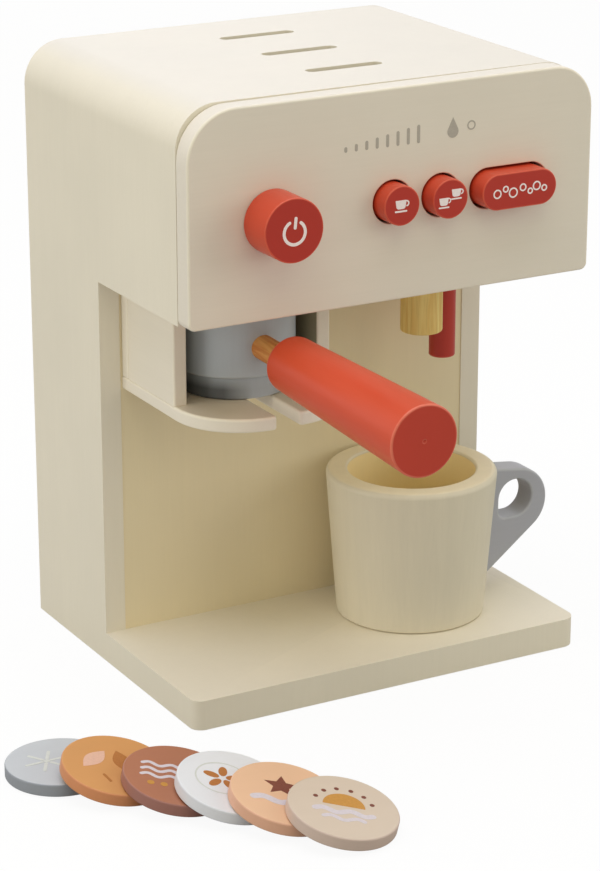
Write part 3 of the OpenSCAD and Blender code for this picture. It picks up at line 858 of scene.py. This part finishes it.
# The coffee spout and the steam wand, each hung on a peg in the head's floor
hangers = {"peg": 4.0, "pegLength": 6.0, "shoulderRim": 0.2, "longer": 0.6}
for name, node, material, slot, rim in (
    ("coffeeSpout", "coffee_spout", paints["spout"], "plain_wood", 0.8),
    ("steamWand", "steam_wand", paints["wand"], "red_paint", 0.7),
):
    low, high = span(node)
    r, top = (high.x - low.x) / 2, high.z - hangers["pegLength"]
    end = low.z - hangers["longer"]
    profile = [(0, end), (r, end, rim), (r, top, hangers["shoulderRim"]), (hangers["peg"], top),
               (hangers["peg"], high.z), (0, high.z)]
    at = centre(node)
    shape = turned(profile, Matrix.Translation((at.x, at.y, 0)), 64)
    solid(name, shape, "cabinet", material, slot, (node,))


# The mug: a turned cup with a thick wall, and a flat grip with a finger hole
mug = {"foot": 31.0, "rim": 35.8, "wall": 9.0, "floor": 8.0, "floorSoft": 3.0, "footSoft": 1.2,
       "outerSoft": 2.2, "innerSoft": 1.0, "sole": 5.0, "soleDeep": 0.8}
mugLow, mugHigh = span("mug_body")
mugAt = Vector(((mugLow.x + mugHigh.x) / 2, (mugLow.y + mugHigh.y) / 2, mugLow.z))


def buildMug():
    h = mugHigh.z - mugLow.z
    foot, rim, wall, floor = mug["foot"], mug["rim"], mug["wall"], mug["floor"]
    sole, deep = mug["sole"], mug["soleDeep"]
    profile = [
        (0, deep), (foot - sole, deep, 0.4), (foot - sole + deep, 0, 0.4), (foot, 0, mug["footSoft"]),
        (rim, h, mug["outerSoft"]), (rim - wall, h, mug["innerSoft"]),
        (foot - wall, floor, mug["floorSoft"]), (0, floor),
    ]
    return turned(profile, Matrix.Translation(mugAt), 128)


grip = {"radius": 14.8, "out": 49.4, "height": 39.8, "tip": 7.0, "thick": 11.0, "rim": 0.9, "rise": 3.0,
        "hole": 8.2, "holeCorner": 3.2, "holeUp": 2.0, "holeIn": 0.8}


def buildGrip():
    foot = mug["foot"]
    inside = foot - mug["wall"] / 2 + 1
    tip = Vector((foot, grip["tip"]))
    high = Vector((inside, grip["height"] + grip["radius"] + grip["rise"]))
    ring = Vector((grip["out"], grip["height"]))

    def arc(middle, radius, first, last, steps):
        turns = [first + (last - first) * k / steps for k in range(steps + 1)]
        return [middle + radius * Vector((math.cos(t), math.sin(t))) for t in turns]

    # The round end runs from where the lower edge touches it to where the top edge does
    ends = []
    for at, side in ((tip, -1), (high, 1)):
        reach = ring - at
        lean = math.atan2(reach.y, reach.x) + side * math.asin(grip["radius"] / reach.length)
        ends.append(lean + side * math.pi / 2)
    outline = [Vector((inside, grip["tip"])), tip + Vector((0.01, 0))]
    outline += arc(ring, grip["radius"], ends[0], ends[1], 44) + [high]
    r, corner = grip["hole"], grip["holeCorner"]
    eye = ring + Vector((-grip["holeIn"], grip["holeUp"]))
    hole = arc(eye, r, -math.pi / 2, math.pi, 54)
    hole += arc(eye - Vector((r - corner, r - corner)), corner, math.pi, 1.5 * math.pi, 12)
    place = Vector((mugAt.x, mugAt.z))
    half = grip["thick"] / 2
    rings = rims(mugAt.y - half, mugAt.y + half, grip["rim"], grip["rim"])
    return board([p + place for p in outline], rings, onXz, [([p + place for p in hole], rings)])


# The inside is the hollow's floor and wall, up to where the wall turns over into the lip
def isMugInside(face):
    at = face.center / mm - mugAt
    inHollow = math.hypot(at.x, at.y) < mug["rim"] - mug["wall"]
    lip = mugHigh.z - mugLow.z - 2 * mug["innerSoft"]
    return inHollow and mug["floor"] - 1 < at.z < lip


mugPiece = solid("mugBody", buildMug(), "mug", paints["mug"], "cream_paint", ("mug_body",))
# The hollow takes the brighter, yellower cream: painted warm bounce light
secondFinish(mugPiece, paints["mugInsideBounceLight"], isMugInside)
solid("mugGrip", buildGrip(), "mug", paints["grip"], "handle_grey_paint", ("mug_handle",))
print("stage: filter, spouts and mug turned")


# The six coins: each takes its place and lean from its CAD solid
# Side and top colours of each coin; the darker sides are partly the coin's own paint and partly painted
# shade
coins = {
    "grey": ((152, 157, 168), (197, 202, 210)),
    "orange": ((212, 142, 97), (215, 156, 97)),
    "brown": ((160, 111, 101), (178, 118, 91)),
    "white": ((225, 227, 237), (233, 236, 243)),
    "peach": ((225, 175, 148), (238, 196, 162)),
    "beige": ((207, 186, 176), (219, 203, 187)),
}
coinSize = {"radius": 21.0, "thick": 5.0, "rim": 0.6, "print": 1.25}


# The frame in a coin's middle: its third axis stands square to the faces that look up
def coinFrame(node):
    up = Vector()
    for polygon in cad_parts[node].data.polygons:
        if polygon.normal.z > 0.7:
            up += polygon.normal * polygon.area
    up.normalize()
    right = (rightward - up * rightward.dot(up)).normalized()
    turn = Matrix((right, up.cross(right), up)).transposed().to_4x4()
    return Matrix.Translation(centre(node)) @ turn


coinFrames = {}
for name, (side, top) in coins.items():
    node = "coin_" + name
    half, r, rim = coinSize["thick"] / 2, coinSize["radius"], coinSize["rim"]
    coinFrames[name] = coinFrame(node)
    shape = turned([(0, -half), (r, -half, rim), (r, half, rim), (0, half)], coinFrames[name])
    title = "coin" + name.capitalize()
    # The top takes its own colour; the darker side colour is partly painted shade
    paint = paintedWood(title + "Paint", side, "x", tone=0.03, relief=0.18, ends=("Z", top))
    solid(title, shape, node + "_piece", paint, node + "_paint", (node,))
print("stage: coins turned")


# Prints: thin raised shapes in ink, drawn in the plane of the face that they lie on
inks = {
    "white": printedInk("inkWhite", (254, 244, 248)),
    "grey": printedInk("inkGrey", (182, 176, 168)),
    "lilac": printedInk("inkLilac", (222, 214, 224)),
    "gold": printedInk("inkGold", (206, 150, 72)),
    "cocoa": printedInk("inkCocoa", (128, 70, 56)),
    "rose": printedInk("inkRose", (232, 188, 168)),
    "pale": printedInk("inkPale", (214, 218, 216)),
    "ochre": printedInk("inkOchre", (186, 120, 62)),
}
inkSlots = {"grey": "handle_grey_paint", "pale": "coin_grey_paint", "gold": "coin_orange_paint",
            "ochre": "coin_orange_paint", "cocoa": "coin_brown_paint", "rose": "coin_peach_paint"}
inkCoat = {"lift": 0.07, "root": 0.3, "layer": 0.004}  # above the face, below it, and per shape


def ellipse(u, v, a, b, angle, steps=40):
    turn = Matrix.Rotation(math.radians(angle), 2)
    turns = [2 * math.pi * k / steps for k in range(steps)]
    return [Vector((u, v)) + turn @ Vector((a * math.cos(t), b * math.sin(t))) for t in turns]


# A line of one width along a path, with round ends
def stroke(path, width):
    path = [Vector(p) for p in path]
    left, right = [], []
    for i, here in enumerate(path):
        before, after = path[max(i - 1, 0)], path[min(i + 1, len(path) - 1)]
        along = (after - before).normalized()
        side = Vector((-along.y, along.x)) * width / 2
        left.append(here + side)
        right.append(here - side)
    caps = []
    for at, towards in ((path[-1], path[-1] - path[-2]), (path[0], path[0] - path[1])):
        start = math.atan2(towards.y, towards.x) - math.pi / 2
        caps.append([at + width / 2 * Vector((math.cos(start + math.pi * k / 8),
                                              math.sin(start + math.pi * k / 8))) for k in range(1, 8)])
    return right + caps[0] + left[::-1] + caps[1]


def arcPath(u, v, radius, first, last, steps=32):
    turns = [math.radians(first + (last - first) * k / steps) for k in range(steps + 1)]
    return [(u + radius * math.cos(t), v + radius * math.sin(t)) for t in turns]


def wavePath(u0, u1, v, rise, waves, steps=36):
    spots = [k / steps for k in range(steps + 1)]
    return [(u0 + (u1 - u0) * s, v + rise * math.sin(2 * math.pi * waves * s)) for s in spots]


def leaf(u, v, length, width, angle, steps=14):
    turn = Matrix.Rotation(math.radians(angle), 2)
    upper = [Vector((length * (k / steps - 0.5), -width / 2 * math.sin(math.pi * k / steps)))
             for k in range(steps + 1)]
    lower = [Vector((p.x, -p.y)) for p in upper[::-1][1:-1]]
    return [Vector((u, v)) + turn @ p for p in upper + lower]


# Ink shapes on a face, each loop or pair of loops (outline and hole) a little thicker than the last;
# `face` maps (u, v, height above the face) to the frame
def printed(name, loops, face, body, ink, lift=inkCoat["lift"]):
    shapes = []
    for k, loop in enumerate(loops):
        levels = [(0, -inkCoat["root"]), (0, lift + inkCoat["layer"] * k)]
        hole = []
        if isinstance(loop, tuple):
            loop, inner = loop
            hole = [(inner, levels)]
        area = sum(a.x * b.y - b.x * a.y for a, b in zip(loop, loop[1:] + loop[:1]))
        loop = loop if area > 0 else loop[::-1]
        shapes.append(board(loop, levels, face, hole))
    return solid(name, gathered(*shapes), body, inks[ink], inkSlots.get(ink, "coin_white_paint"))


def frontFace(at, y):
    return lambda u, v, w: (at.x + u, y - w, at.z + v)


# Places and sizes of the signs, from the middle of the face that each lies on
signs = {
    "line": 1.25,
    "powerRing": (0.1, -0.8, 4.5),
    "powerGap": (118, 414),
    "powerBar": ((0.3, 1.1), (0.65, 4.7)),
    "oneCup": (-0.4, 0.2, 1.15),
    "twoCups": ((-2.9, -1.1, 1.0), (2.7, 1.9, 1.0)),
    "bubbles": ((-10.4, -0.6, 1.9), (-6.6, 1.0, 1.4), (-3.1, -0.8, 2.1), (1.4, 0.8, 1.6),
                (4.8, -1.0, 1.3), (7.8, 0.7, 1.9), (11.3, -0.5, 1.4)),
    "bubbleLine": 0.6,
}
# The small marks above the buttons: rising bars, a drop and a ring, measured from the frame's origin
panelMarks = {"bars": 8, "barAt": (-22.5, 225.4), "barPitch": 4.6, "barShort": 0.9, "barRise": 0.72,
              "barWidth": 1.3, "drop": (25.2, 227.6, 2.5), "dropTip": 233.2, "ring": (33.6, 229.2, 1.9),
              "ringHole": 1.35, "lift": 0.05}


# A cup with its ear and saucer, drawn round (u, v)
def cupSign(u, v, size):
    bowl = filleted([(u - 2.3 * size, v + 1.8 * size, 0.2), (u - 1.8 * size, v - 1.2 * size, 1.0 * size),
                     (u + 1.5 * size, v - 1.2 * size, 1.0 * size), (u + 2.0 * size, v + 1.8 * size, 0.2)],
                    guard=0)
    ear = stroke(arcPath(u + 2.0 * size, v + 0.6 * size, 0.85 * size, -80, 80, 14), 0.5 * size)
    plate = stroke([(u - 2.2 * size, v - 2.0 * size), (u + 2.0 * size, v - 2.0 * size)], 0.6 * size)
    return [bowl, ear, plate]


def buildPrints():
    knobFace = frontFace(controls["power_knob"], span("power_knob")[0].y)
    ring = stroke(arcPath(*signs["powerRing"], *signs["powerGap"], 48), signs["line"])
    bar = stroke(signs["powerBar"], signs["line"])
    printed("knobSign", [ring, bar], knobFace, "knob", "white")
    face = span("one_cup_button")[0].y + button["setBack"]
    printed("oneCupSign", cupSign(*signs["oneCup"]), frontFace(controls["one_cup_button"], face),
            "one_cup", "white")
    cups = [part for place in signs["twoCups"] for part in cupSign(*place)]
    printed("twoCupSign", cups, frontFace(controls["two_cup_button"], face), "two_cup", "white")
    rings = []
    for u, v, r in signs["bubbles"]:
        rings.append((circle(u, v, r, 28), circle(u, v, r - signs["bubbleLine"], 28)))
    printed("foamSign", rings, frontFace(controls["foam_button"], span("foam_button")[0].y), "foam",
            "white")


def buildPanelMarks():
    marks = []
    left, foot = panelMarks["barAt"]
    for k in range(panelMarks["bars"]):
        u = left + panelMarks["barPitch"] * k
        top = foot + panelMarks["barShort"] + panelMarks["barRise"] * k
        marks.append(stroke([(u, foot), (u, top)], panelMarks["barWidth"]))
    u, v, r = panelMarks["drop"]
    belly = [Vector(p) for p in arcPath(u, v, r, -210, 30, 24)]
    marks.append(belly + [Vector((u, panelMarks["dropTip"]))])
    u, v, r = panelMarks["ring"]
    marks.append((circle(u, v, r, 32), circle(u, v, panelMarks["ringHole"], 32)))
    face = frontFace(Vector((0, 0, 0)), frontLow.y)
    printed("panelSigns", marks, face, "cabinet", "grey", panelMarks["lift"])


def coinFace(name):
    place = coinFrames[name] @ Matrix.Translation((0, 0, coinSize["thick"] / 2))
    spread = coinSize["print"]
    return lambda u, v, w: tuple(place @ Vector((u * spread, v * spread, w)))


def star(u, v, points, outer, inner):
    spots = []
    for k in range(2 * points):
        t = math.radians(90 + 180 * k / points)
        r = outer if k % 2 == 0 else inner
        spots.append(Vector((u + r * math.cos(t), v + r * math.sin(t))))
    return spots


def buildCoinPrints():
    face, body = coinFace("grey"), "coin_grey_piece"
    arms = []
    for k in range(6):
        t = math.radians(30 + 60 * k)
        arms.append(stroke([(-4 + r * math.cos(t), r * math.sin(t)) for r in (1.6, 6.6)], 1.1))
    printed("coinGreyMark", arms + [circle(-4, 0, 1.0, 24)], face, body, "pale")
    face, body = coinFace("orange"), "coin_orange_piece"
    printed("coinOrangeLeaf", [leaf(-7, 1.5, 12, 5.5, 62)], face, body, "rose")
    stem = stroke([(-3.4, -6.5), (-1.2, -9.5)], 0.9)
    printed("coinOrangeStem", [leaf(1.5, 2.5, 12, 5.5, 112), stem], face, body, "ochre")
    face, body = coinFace("brown"), "coin_brown_piece"
    waves = [stroke(wavePath(-11, 3, 4.2 - 3.2 * k, 0.8, 2), 1.3) for k in range(3)]
    printed("coinBrownWaves", waves, face, body, "lilac")
    printed("coinBrownDots", [circle(-8 + 4 * k, -6.4, 1.1, 24) for k in range(3)], face, body, "gold")
    face, body = coinFace("white"), "coin_white_piece"
    petals = [ellipse(-3 + 3.6 * math.cos(t), 1 + 3.6 * math.sin(t), 2.5, 1.35, math.degrees(t))
              for t in [math.radians(90 + 72 * k) for k in range(5)]]
    printed("coinWhitePetals", petals, face, body, "ochre")
    printed("coinWhiteRing", [(circle(-3, 1, 8.4, 64), circle(-3, 1, 7.9, 64))], face, body, "pale")
    face, body = coinFace("peach"), "coin_peach_piece"
    printed("coinPeachStar", [star(-1.5, 3.4, 5, 5.4, 2.5)], face, body, "cocoa")
    printed("coinPeachBand", [stroke(wavePath(-9.5, 6, -4.6, 0.9, 1.5), 2.6)], face, body, "lilac")
    face, body = coinFace("beige"), "coin_beige_piece"
    sun = [Vector(p) for p in arcPath(0, 0.6, 6.4, 0, 180, 40)]
    printed("coinBeigeSun", [sun], face, body, "gold")
    rays = [circle(9 * math.cos(t), 0.6 + 9 * math.sin(t), 0.75, 20)
            for t in [math.radians(20 + 28 * k) for k in range(6)]]
    printed("coinBeigeRays", rays, face, body, "cocoa")
    printed("coinBeigeWave", [stroke(wavePath(-8.5, 8.5, -2.6, 0.8, 2), 2.2),
                              stroke(wavePath(-6, 6, -6.2, 0.8, 1.5), 1.6)], face, body, "lilac")


buildPrints()
buildPanelMarks()
buildCoinPrints()
print("stage: prints laid")


# Screws and springs grow from geometry nodes: named sizes in, one plain mesh out
def startGrowth(name, sizes):
    tree = bpy.data.node_groups.new(name, "GeometryNodeTree")
    tree.interface.new_socket("Places", in_out="INPUT", socket_type="NodeSocketGeometry")
    for key, value in sizes.items():
        kind = "NodeSocketVector" if isinstance(value, tuple) else "NodeSocketFloat"
        kind = "NodeSocketMaterial" if isinstance(value, bpy.types.Material) else kind
        tree.interface.new_socket(key, in_out="INPUT", socket_type=kind)
    tree.interface.new_socket("Mesh", in_out="OUTPUT", socket_type="NodeSocketGeometry")
    graph = Graph(tree)
    entry = tree.nodes.new("NodeGroupInput")
    wires = {s.name: Wire(graph, s) for s in entry.outputs if s.name}
    return tree, graph, wires


def endGrowth(tree, graph, shape, wires):
    placed = graph.node("GeometryNodeInstanceOnPoints", {}, {
        "Points": wires["Places"], "Instance": shape, "Rotation": wires["Turn"]})
    real = graph.node("GeometryNodeRealizeInstances", {}, {"Geometry": placed})
    smooth = graph.node("GeometryNodeSetShadeSmooth", {}, {"Geometry": real})
    coated = graph.node("GeometryNodeSetMaterial", {}, {"Geometry": smooth, "Material": wires["Finish"]})
    leave = tree.nodes.new("NodeGroupOutput")
    tree.links.new(coated.socket, leave.inputs[0])


def screwTree(sizes):
    tree, graph, wires = startGrowth("screwGrowth", sizes)
    d, length = wires["Diameter"], wires["Length"]
    head = graph.node("GeometryNodeMeshCone", {"fill_type": "NGON"}, {
        "Vertices": 40, "Radius Top": d * 0.4, "Radius Bottom": d, "Depth": d * 0.6})
    core = graph.node("GeometryNodeMeshCylinder", {"fill_type": "NGON"}, {
        "Vertices": 24, "Radius": d * 0.36, "Depth": length * 0.9})
    rise = graph.node("ShaderNodeCombineXYZ", {}, {"Z": length * 0.47})
    core = graph.node("GeometryNodeTransform", {}, {"Geometry": core, "Translation": rise})
    helix = graph.node("GeometryNodeCurveSpiral", {}, {
        "Resolution": 20, "Rotations": length * 0.62 / (d * 0.42), "Start Radius": d * 0.38,
        "End Radius": d * 0.38, "Height": length * 0.62})
    ridge = graph.node("GeometryNodeCurvePrimitiveCircle", {"mode": "RADIUS"}, {
        "Resolution": 4, "Radius": d * 0.1})
    thread = graph.node("GeometryNodeCurveToMesh", {}, {
        "Curve": helix, "Profile Curve": ridge, "Fill Caps": True})
    lift = graph.node("ShaderNodeCombineXYZ", {}, {"Z": length * 0.28})
    thread = graph.node("GeometryNodeTransform", {}, {"Geometry": thread, "Translation": lift})
    bars = []
    for wide, deep in ((1.15, 0.24), (0.24, 1.15)):
        size = graph.node("ShaderNodeCombineXYZ", {}, {"X": d * wide, "Y": d * deep, "Z": d * 0.7})
        bars.append(graph.node("GeometryNodeMeshCube", {}, {"Size": size}))
    cross = graph.node("GeometryNodeJoinGeometry", {}, {"Geometry": bars})
    cut = graph.node("GeometryNodeMeshBoolean", {"operation": "DIFFERENCE", "solver": "EXACT"}, {
        "Mesh 1": head, "Mesh 2": cross})
    whole = graph.node("GeometryNodeJoinGeometry", {}, {"Geometry": [cut, core, thread]})
    endGrowth(tree, graph, whole, wires)
    return tree


def springTree(sizes):
    tree, graph, wires = startGrowth("springGrowth", sizes)
    helix = graph.node("GeometryNodeCurveSpiral", {}, {
        "Resolution": 28, "Rotations": wires["Turns"], "Start Radius": wires["Coil"] * 0.5,
        "End Radius": wires["Coil"] * 0.5, "Height": wires["Length"]})
    section = graph.node("GeometryNodeCurvePrimitiveCircle", {"mode": "RADIUS"}, {
        "Resolution": 10, "Radius": wires["Wire"] * 0.5})
    coil = graph.node("GeometryNodeCurveToMesh", {}, {
        "Curve": helix, "Profile Curve": section, "Fill Caps": True})
    endGrowth(tree, graph, coil, wires)
    return tree


# Grows one mesh at all the places, fixed in the cabinet; a tree's inputs are set by their identifiers
def grown(name, makeTree, sizes, places, node):
    seedMesh = bpy.data.meshes.new(name + "Seed")
    seedMesh.from_pydata([tuple(c * mm for c in p) for p in places], [], [])
    thing = linked(name + "Seed", seedMesh)
    tree = makeTree(sizes)
    growth = thing.modifiers.new("growth", "NODES")
    growth.node_group = tree
    for item in tree.interface.items_tree:
        if item.in_out == "INPUT" and item.name in sizes:
            growth[item.identifier] = sizes[item.name]
    mesh = settled(thing)
    mesh.name = name
    cleanMesh(mesh)
    return piece(name, mesh, "cabinet", paints["steel"], "steel", (node,))


backFace = span("back_board")[1].y - flush
holderFace = span("holder_back")[0].y + flush
screws = {
    "baseScrews": {"node": "base_screws", "size": shell["screw"], "length": 32, "turn": (0, 0, 0),
                   "places": [(x, y, flush) for x, y in shell["screwPlaces"]]},
    "backScrews": {"node": "back_screws", "size": backing["screw"], "length": 11, "turn": (90, 0, 0),
                   "places": [(x, backFace, z) for x, z in backing["screws"]]},
    "holderScrews": {"node": "holder_screws", "size": 3.0, "length": 11, "turn": (-90, 0, 0),
                     "places": [(x, holderFace, z) for x, z in holder["screws"]]},
}
for name, facts in screws.items():
    sizes = {"Diameter": facts["size"] * mm, "Length": facts["length"] * mm,
             "Turn": tuple(math.radians(a) for a in facts["turn"]), "Finish": paints["steel"]}
    grown(name, screwTree, sizes, facts["places"], facts["node"])

springSize = {"coil": 9.0, "wire": 0.9, "turns": 6.0, "travel": 5.0, "spread": 10.0}
spread = Vector((springSize["spread"], 0, 0))
longMiddle = centre("foam_button")
for name, node, joint, places in (
    ("oneCupSpring", "one_cup_spring", "one_cup_push", [centre("one_cup_button")]),
    ("twoCupSpring", "two_cup_spring", "two_cup_push", [centre("two_cup_button")]),
    ("foamSprings", "foam_springs", "foam_push", [longMiddle - spread, longMiddle + spread]),
):
    low, high = span(node)
    wire = springSize["wire"]
    sizes = {"Coil": springSize["coil"] * mm, "Wire": wire * mm, "Turns": springSize["turns"],
             "Length": (high.y - low.y - wire) * mm, "Turn": (math.radians(-90), 0, 0),
             "Finish": paints["steel"]}
    seats = [(p.x, low.y + wire / 2, p.z) for p in places]
    coil = grown(name, springTree, sizes, seats, node)
    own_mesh(coil)
print("stage: screws and springs grown")


# The CAD pieces that keep their own shape take the finishes
kept = {
    "recess": ("recess_board", "head_floor"),
    "innerAcross": ("panel_dowels", "knob_shaft", "knob_collar", "one_cup_stem", "two_cup_stem",
                    "foam_stems", "button_guide"),
    "innerUpright": ("back_battens", "top_dowels"),
}
for finish, nodes in kept.items():
    for node in nodes:
        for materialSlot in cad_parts[node].material_slots:
            materialSlot.material = paints[finish]
print("stage: kept pieces finished")


# The studio, in metres
studio = {"floorHalf": 4.0, "floorDrop": 0.0003, "floorGlow": 1.08, "glowShare": 0.86,
          "room": (1.0, 0.97, 0.82, 1), "roomStrength": 0.51}


# The floor: near white, with a soft shadow where the object stands
def buildFloor():
    half = studio["floorHalf"]
    mesh = bpy.data.meshes.new("floor")
    corners = [(-half, -half), (half, -half), (half, half), (-half, half)]
    mesh.from_pydata([(x, y, -studio["floorDrop"]) for x, y in corners], [], [(0, 1, 2, 3)])
    floor = linked("floor", mesh)
    material, graph, shader = startMaterial("floorCard", {"Roughness": 0.9, "Specular IOR Level": 0.0})
    shader.inputs["Base Color"].default_value = (0.5, 0.5, 0.5, 1)
    rays = graph.node("ShaderNodeLightPath", output="Is Camera Ray")
    glow = graph.node("ShaderNodeEmission", {}, {"Color": (1, 1, 1, 1), "Strength": studio["floorGlow"]})
    mixed = graph.node("ShaderNodeMixShader", {}, {
        0: rays * studio["glowShare"], 1: Wire(graph, shader.outputs[0]), 2: glow})
    end = material.node_tree.nodes["Material Output"]
    material.node_tree.links.new(mixed.socket, end.inputs["Surface"])
    mesh.materials.append(material)


# The world: white to the camera and in reflections, a dim warm room for the rest
def buildWorld():
    world = bpy.data.worlds.new("studio")
    bpy.context.scene.world = world
    world.use_nodes = True
    graph = Graph(world.node_tree)
    world.node_tree.nodes.clear()
    seen = graph.node("ShaderNodeLightPath", output="Is Camera Ray")
    light = seen.socket.node
    mirrored = Wire(graph, light.outputs["Is Glossy Ray"])
    through = Wire(graph, light.outputs["Is Transmission Ray"])
    white = graph.node("ShaderNodeBackground", {}, {"Color": (1, 1, 1, 1), "Strength": 1.0})
    room = graph.node("ShaderNodeBackground", {}, {
        "Color": studio["room"], "Strength": studio["roomStrength"]})
    either = graph.maths("MAXIMUM", graph.maths("MAXIMUM", seen, mirrored), through)
    mixed = graph.node("ShaderNodeMixShader", {}, {0: either, 1: room, 2: white})
    end = graph.tree.nodes.new("ShaderNodeOutputWorld")
    graph.tree.links.new(mixed.socket, end.inputs["Surface"])


lights = {
    "topSoftbox": {"at": (-0.1, 0.0, 1.7), "size": (1.6, 1.6), "power": 15.4, "colour": (0.70, 0.74, 1.0)},
    "foreSoftbox": {"at": (-0.2, -0.7, 1.6), "size": (1.4, 1.4), "power": 3.3, "colour": (1.0, 0.88, 0.12)},
    "leftSoftbox": {"at": (-1.9, 0.1, 0.45), "size": (1.2, 1.4), "power": 10.4, "colour": (1.0, 0.97, 0.85)},
    "rightSoftbox": {"at": (1.6, -1.2, 0.8), "size": (1.2, 1.2), "power": 7.3, "colour": (1.0, 0.96, 0.86)},
    "rearSoftbox": {"at": (0.5, 2.0, 0.4), "size": (1.2, 0.8), "power": 4.0, "colour": (0.92, 0.95, 1.0)},
}
aim = Vector((0, 0, 0.12))
for name, facts in lights.items():
    data = bpy.data.lights.new(name, "AREA")
    data.shape = "RECTANGLE"
    data.size, data.size_y = facts["size"]
    data.energy = facts["power"]
    data.color = facts["colour"]
    lamp = bpy.data.objects.new(name, data)
    lamp.location = facts["at"]
    lamp.rotation_euler = (aim - lamp.location).to_track_quat("-Z", "Y").to_euler()
    bpy.context.scene.collection.objects.link(lamp)

buildFloor()
buildWorld()
bpy.context.scene.view_settings.view_transform = "Standard"

shot = {"at": (-0.56836, -1.01358, 0.48821), "towards": (0.46105, 0.82485, -0.32718), "lens": 121.7,
        "sensor": 36.0}
cameraData = bpy.data.cameras.new("camera")
cameraData.lens = shot["lens"]
cameraData.sensor_width = shot["sensor"]
camera = bpy.data.objects.new("camera", cameraData)
camera.location = shot["at"]
camera.rotation_euler = Vector(shot["towards"]).to_track_quat("-Z", "Y").to_euler()
bpy.context.scene.collection.objects.link(camera)
bpy.context.scene.camera = camera
print("stage: studio set")
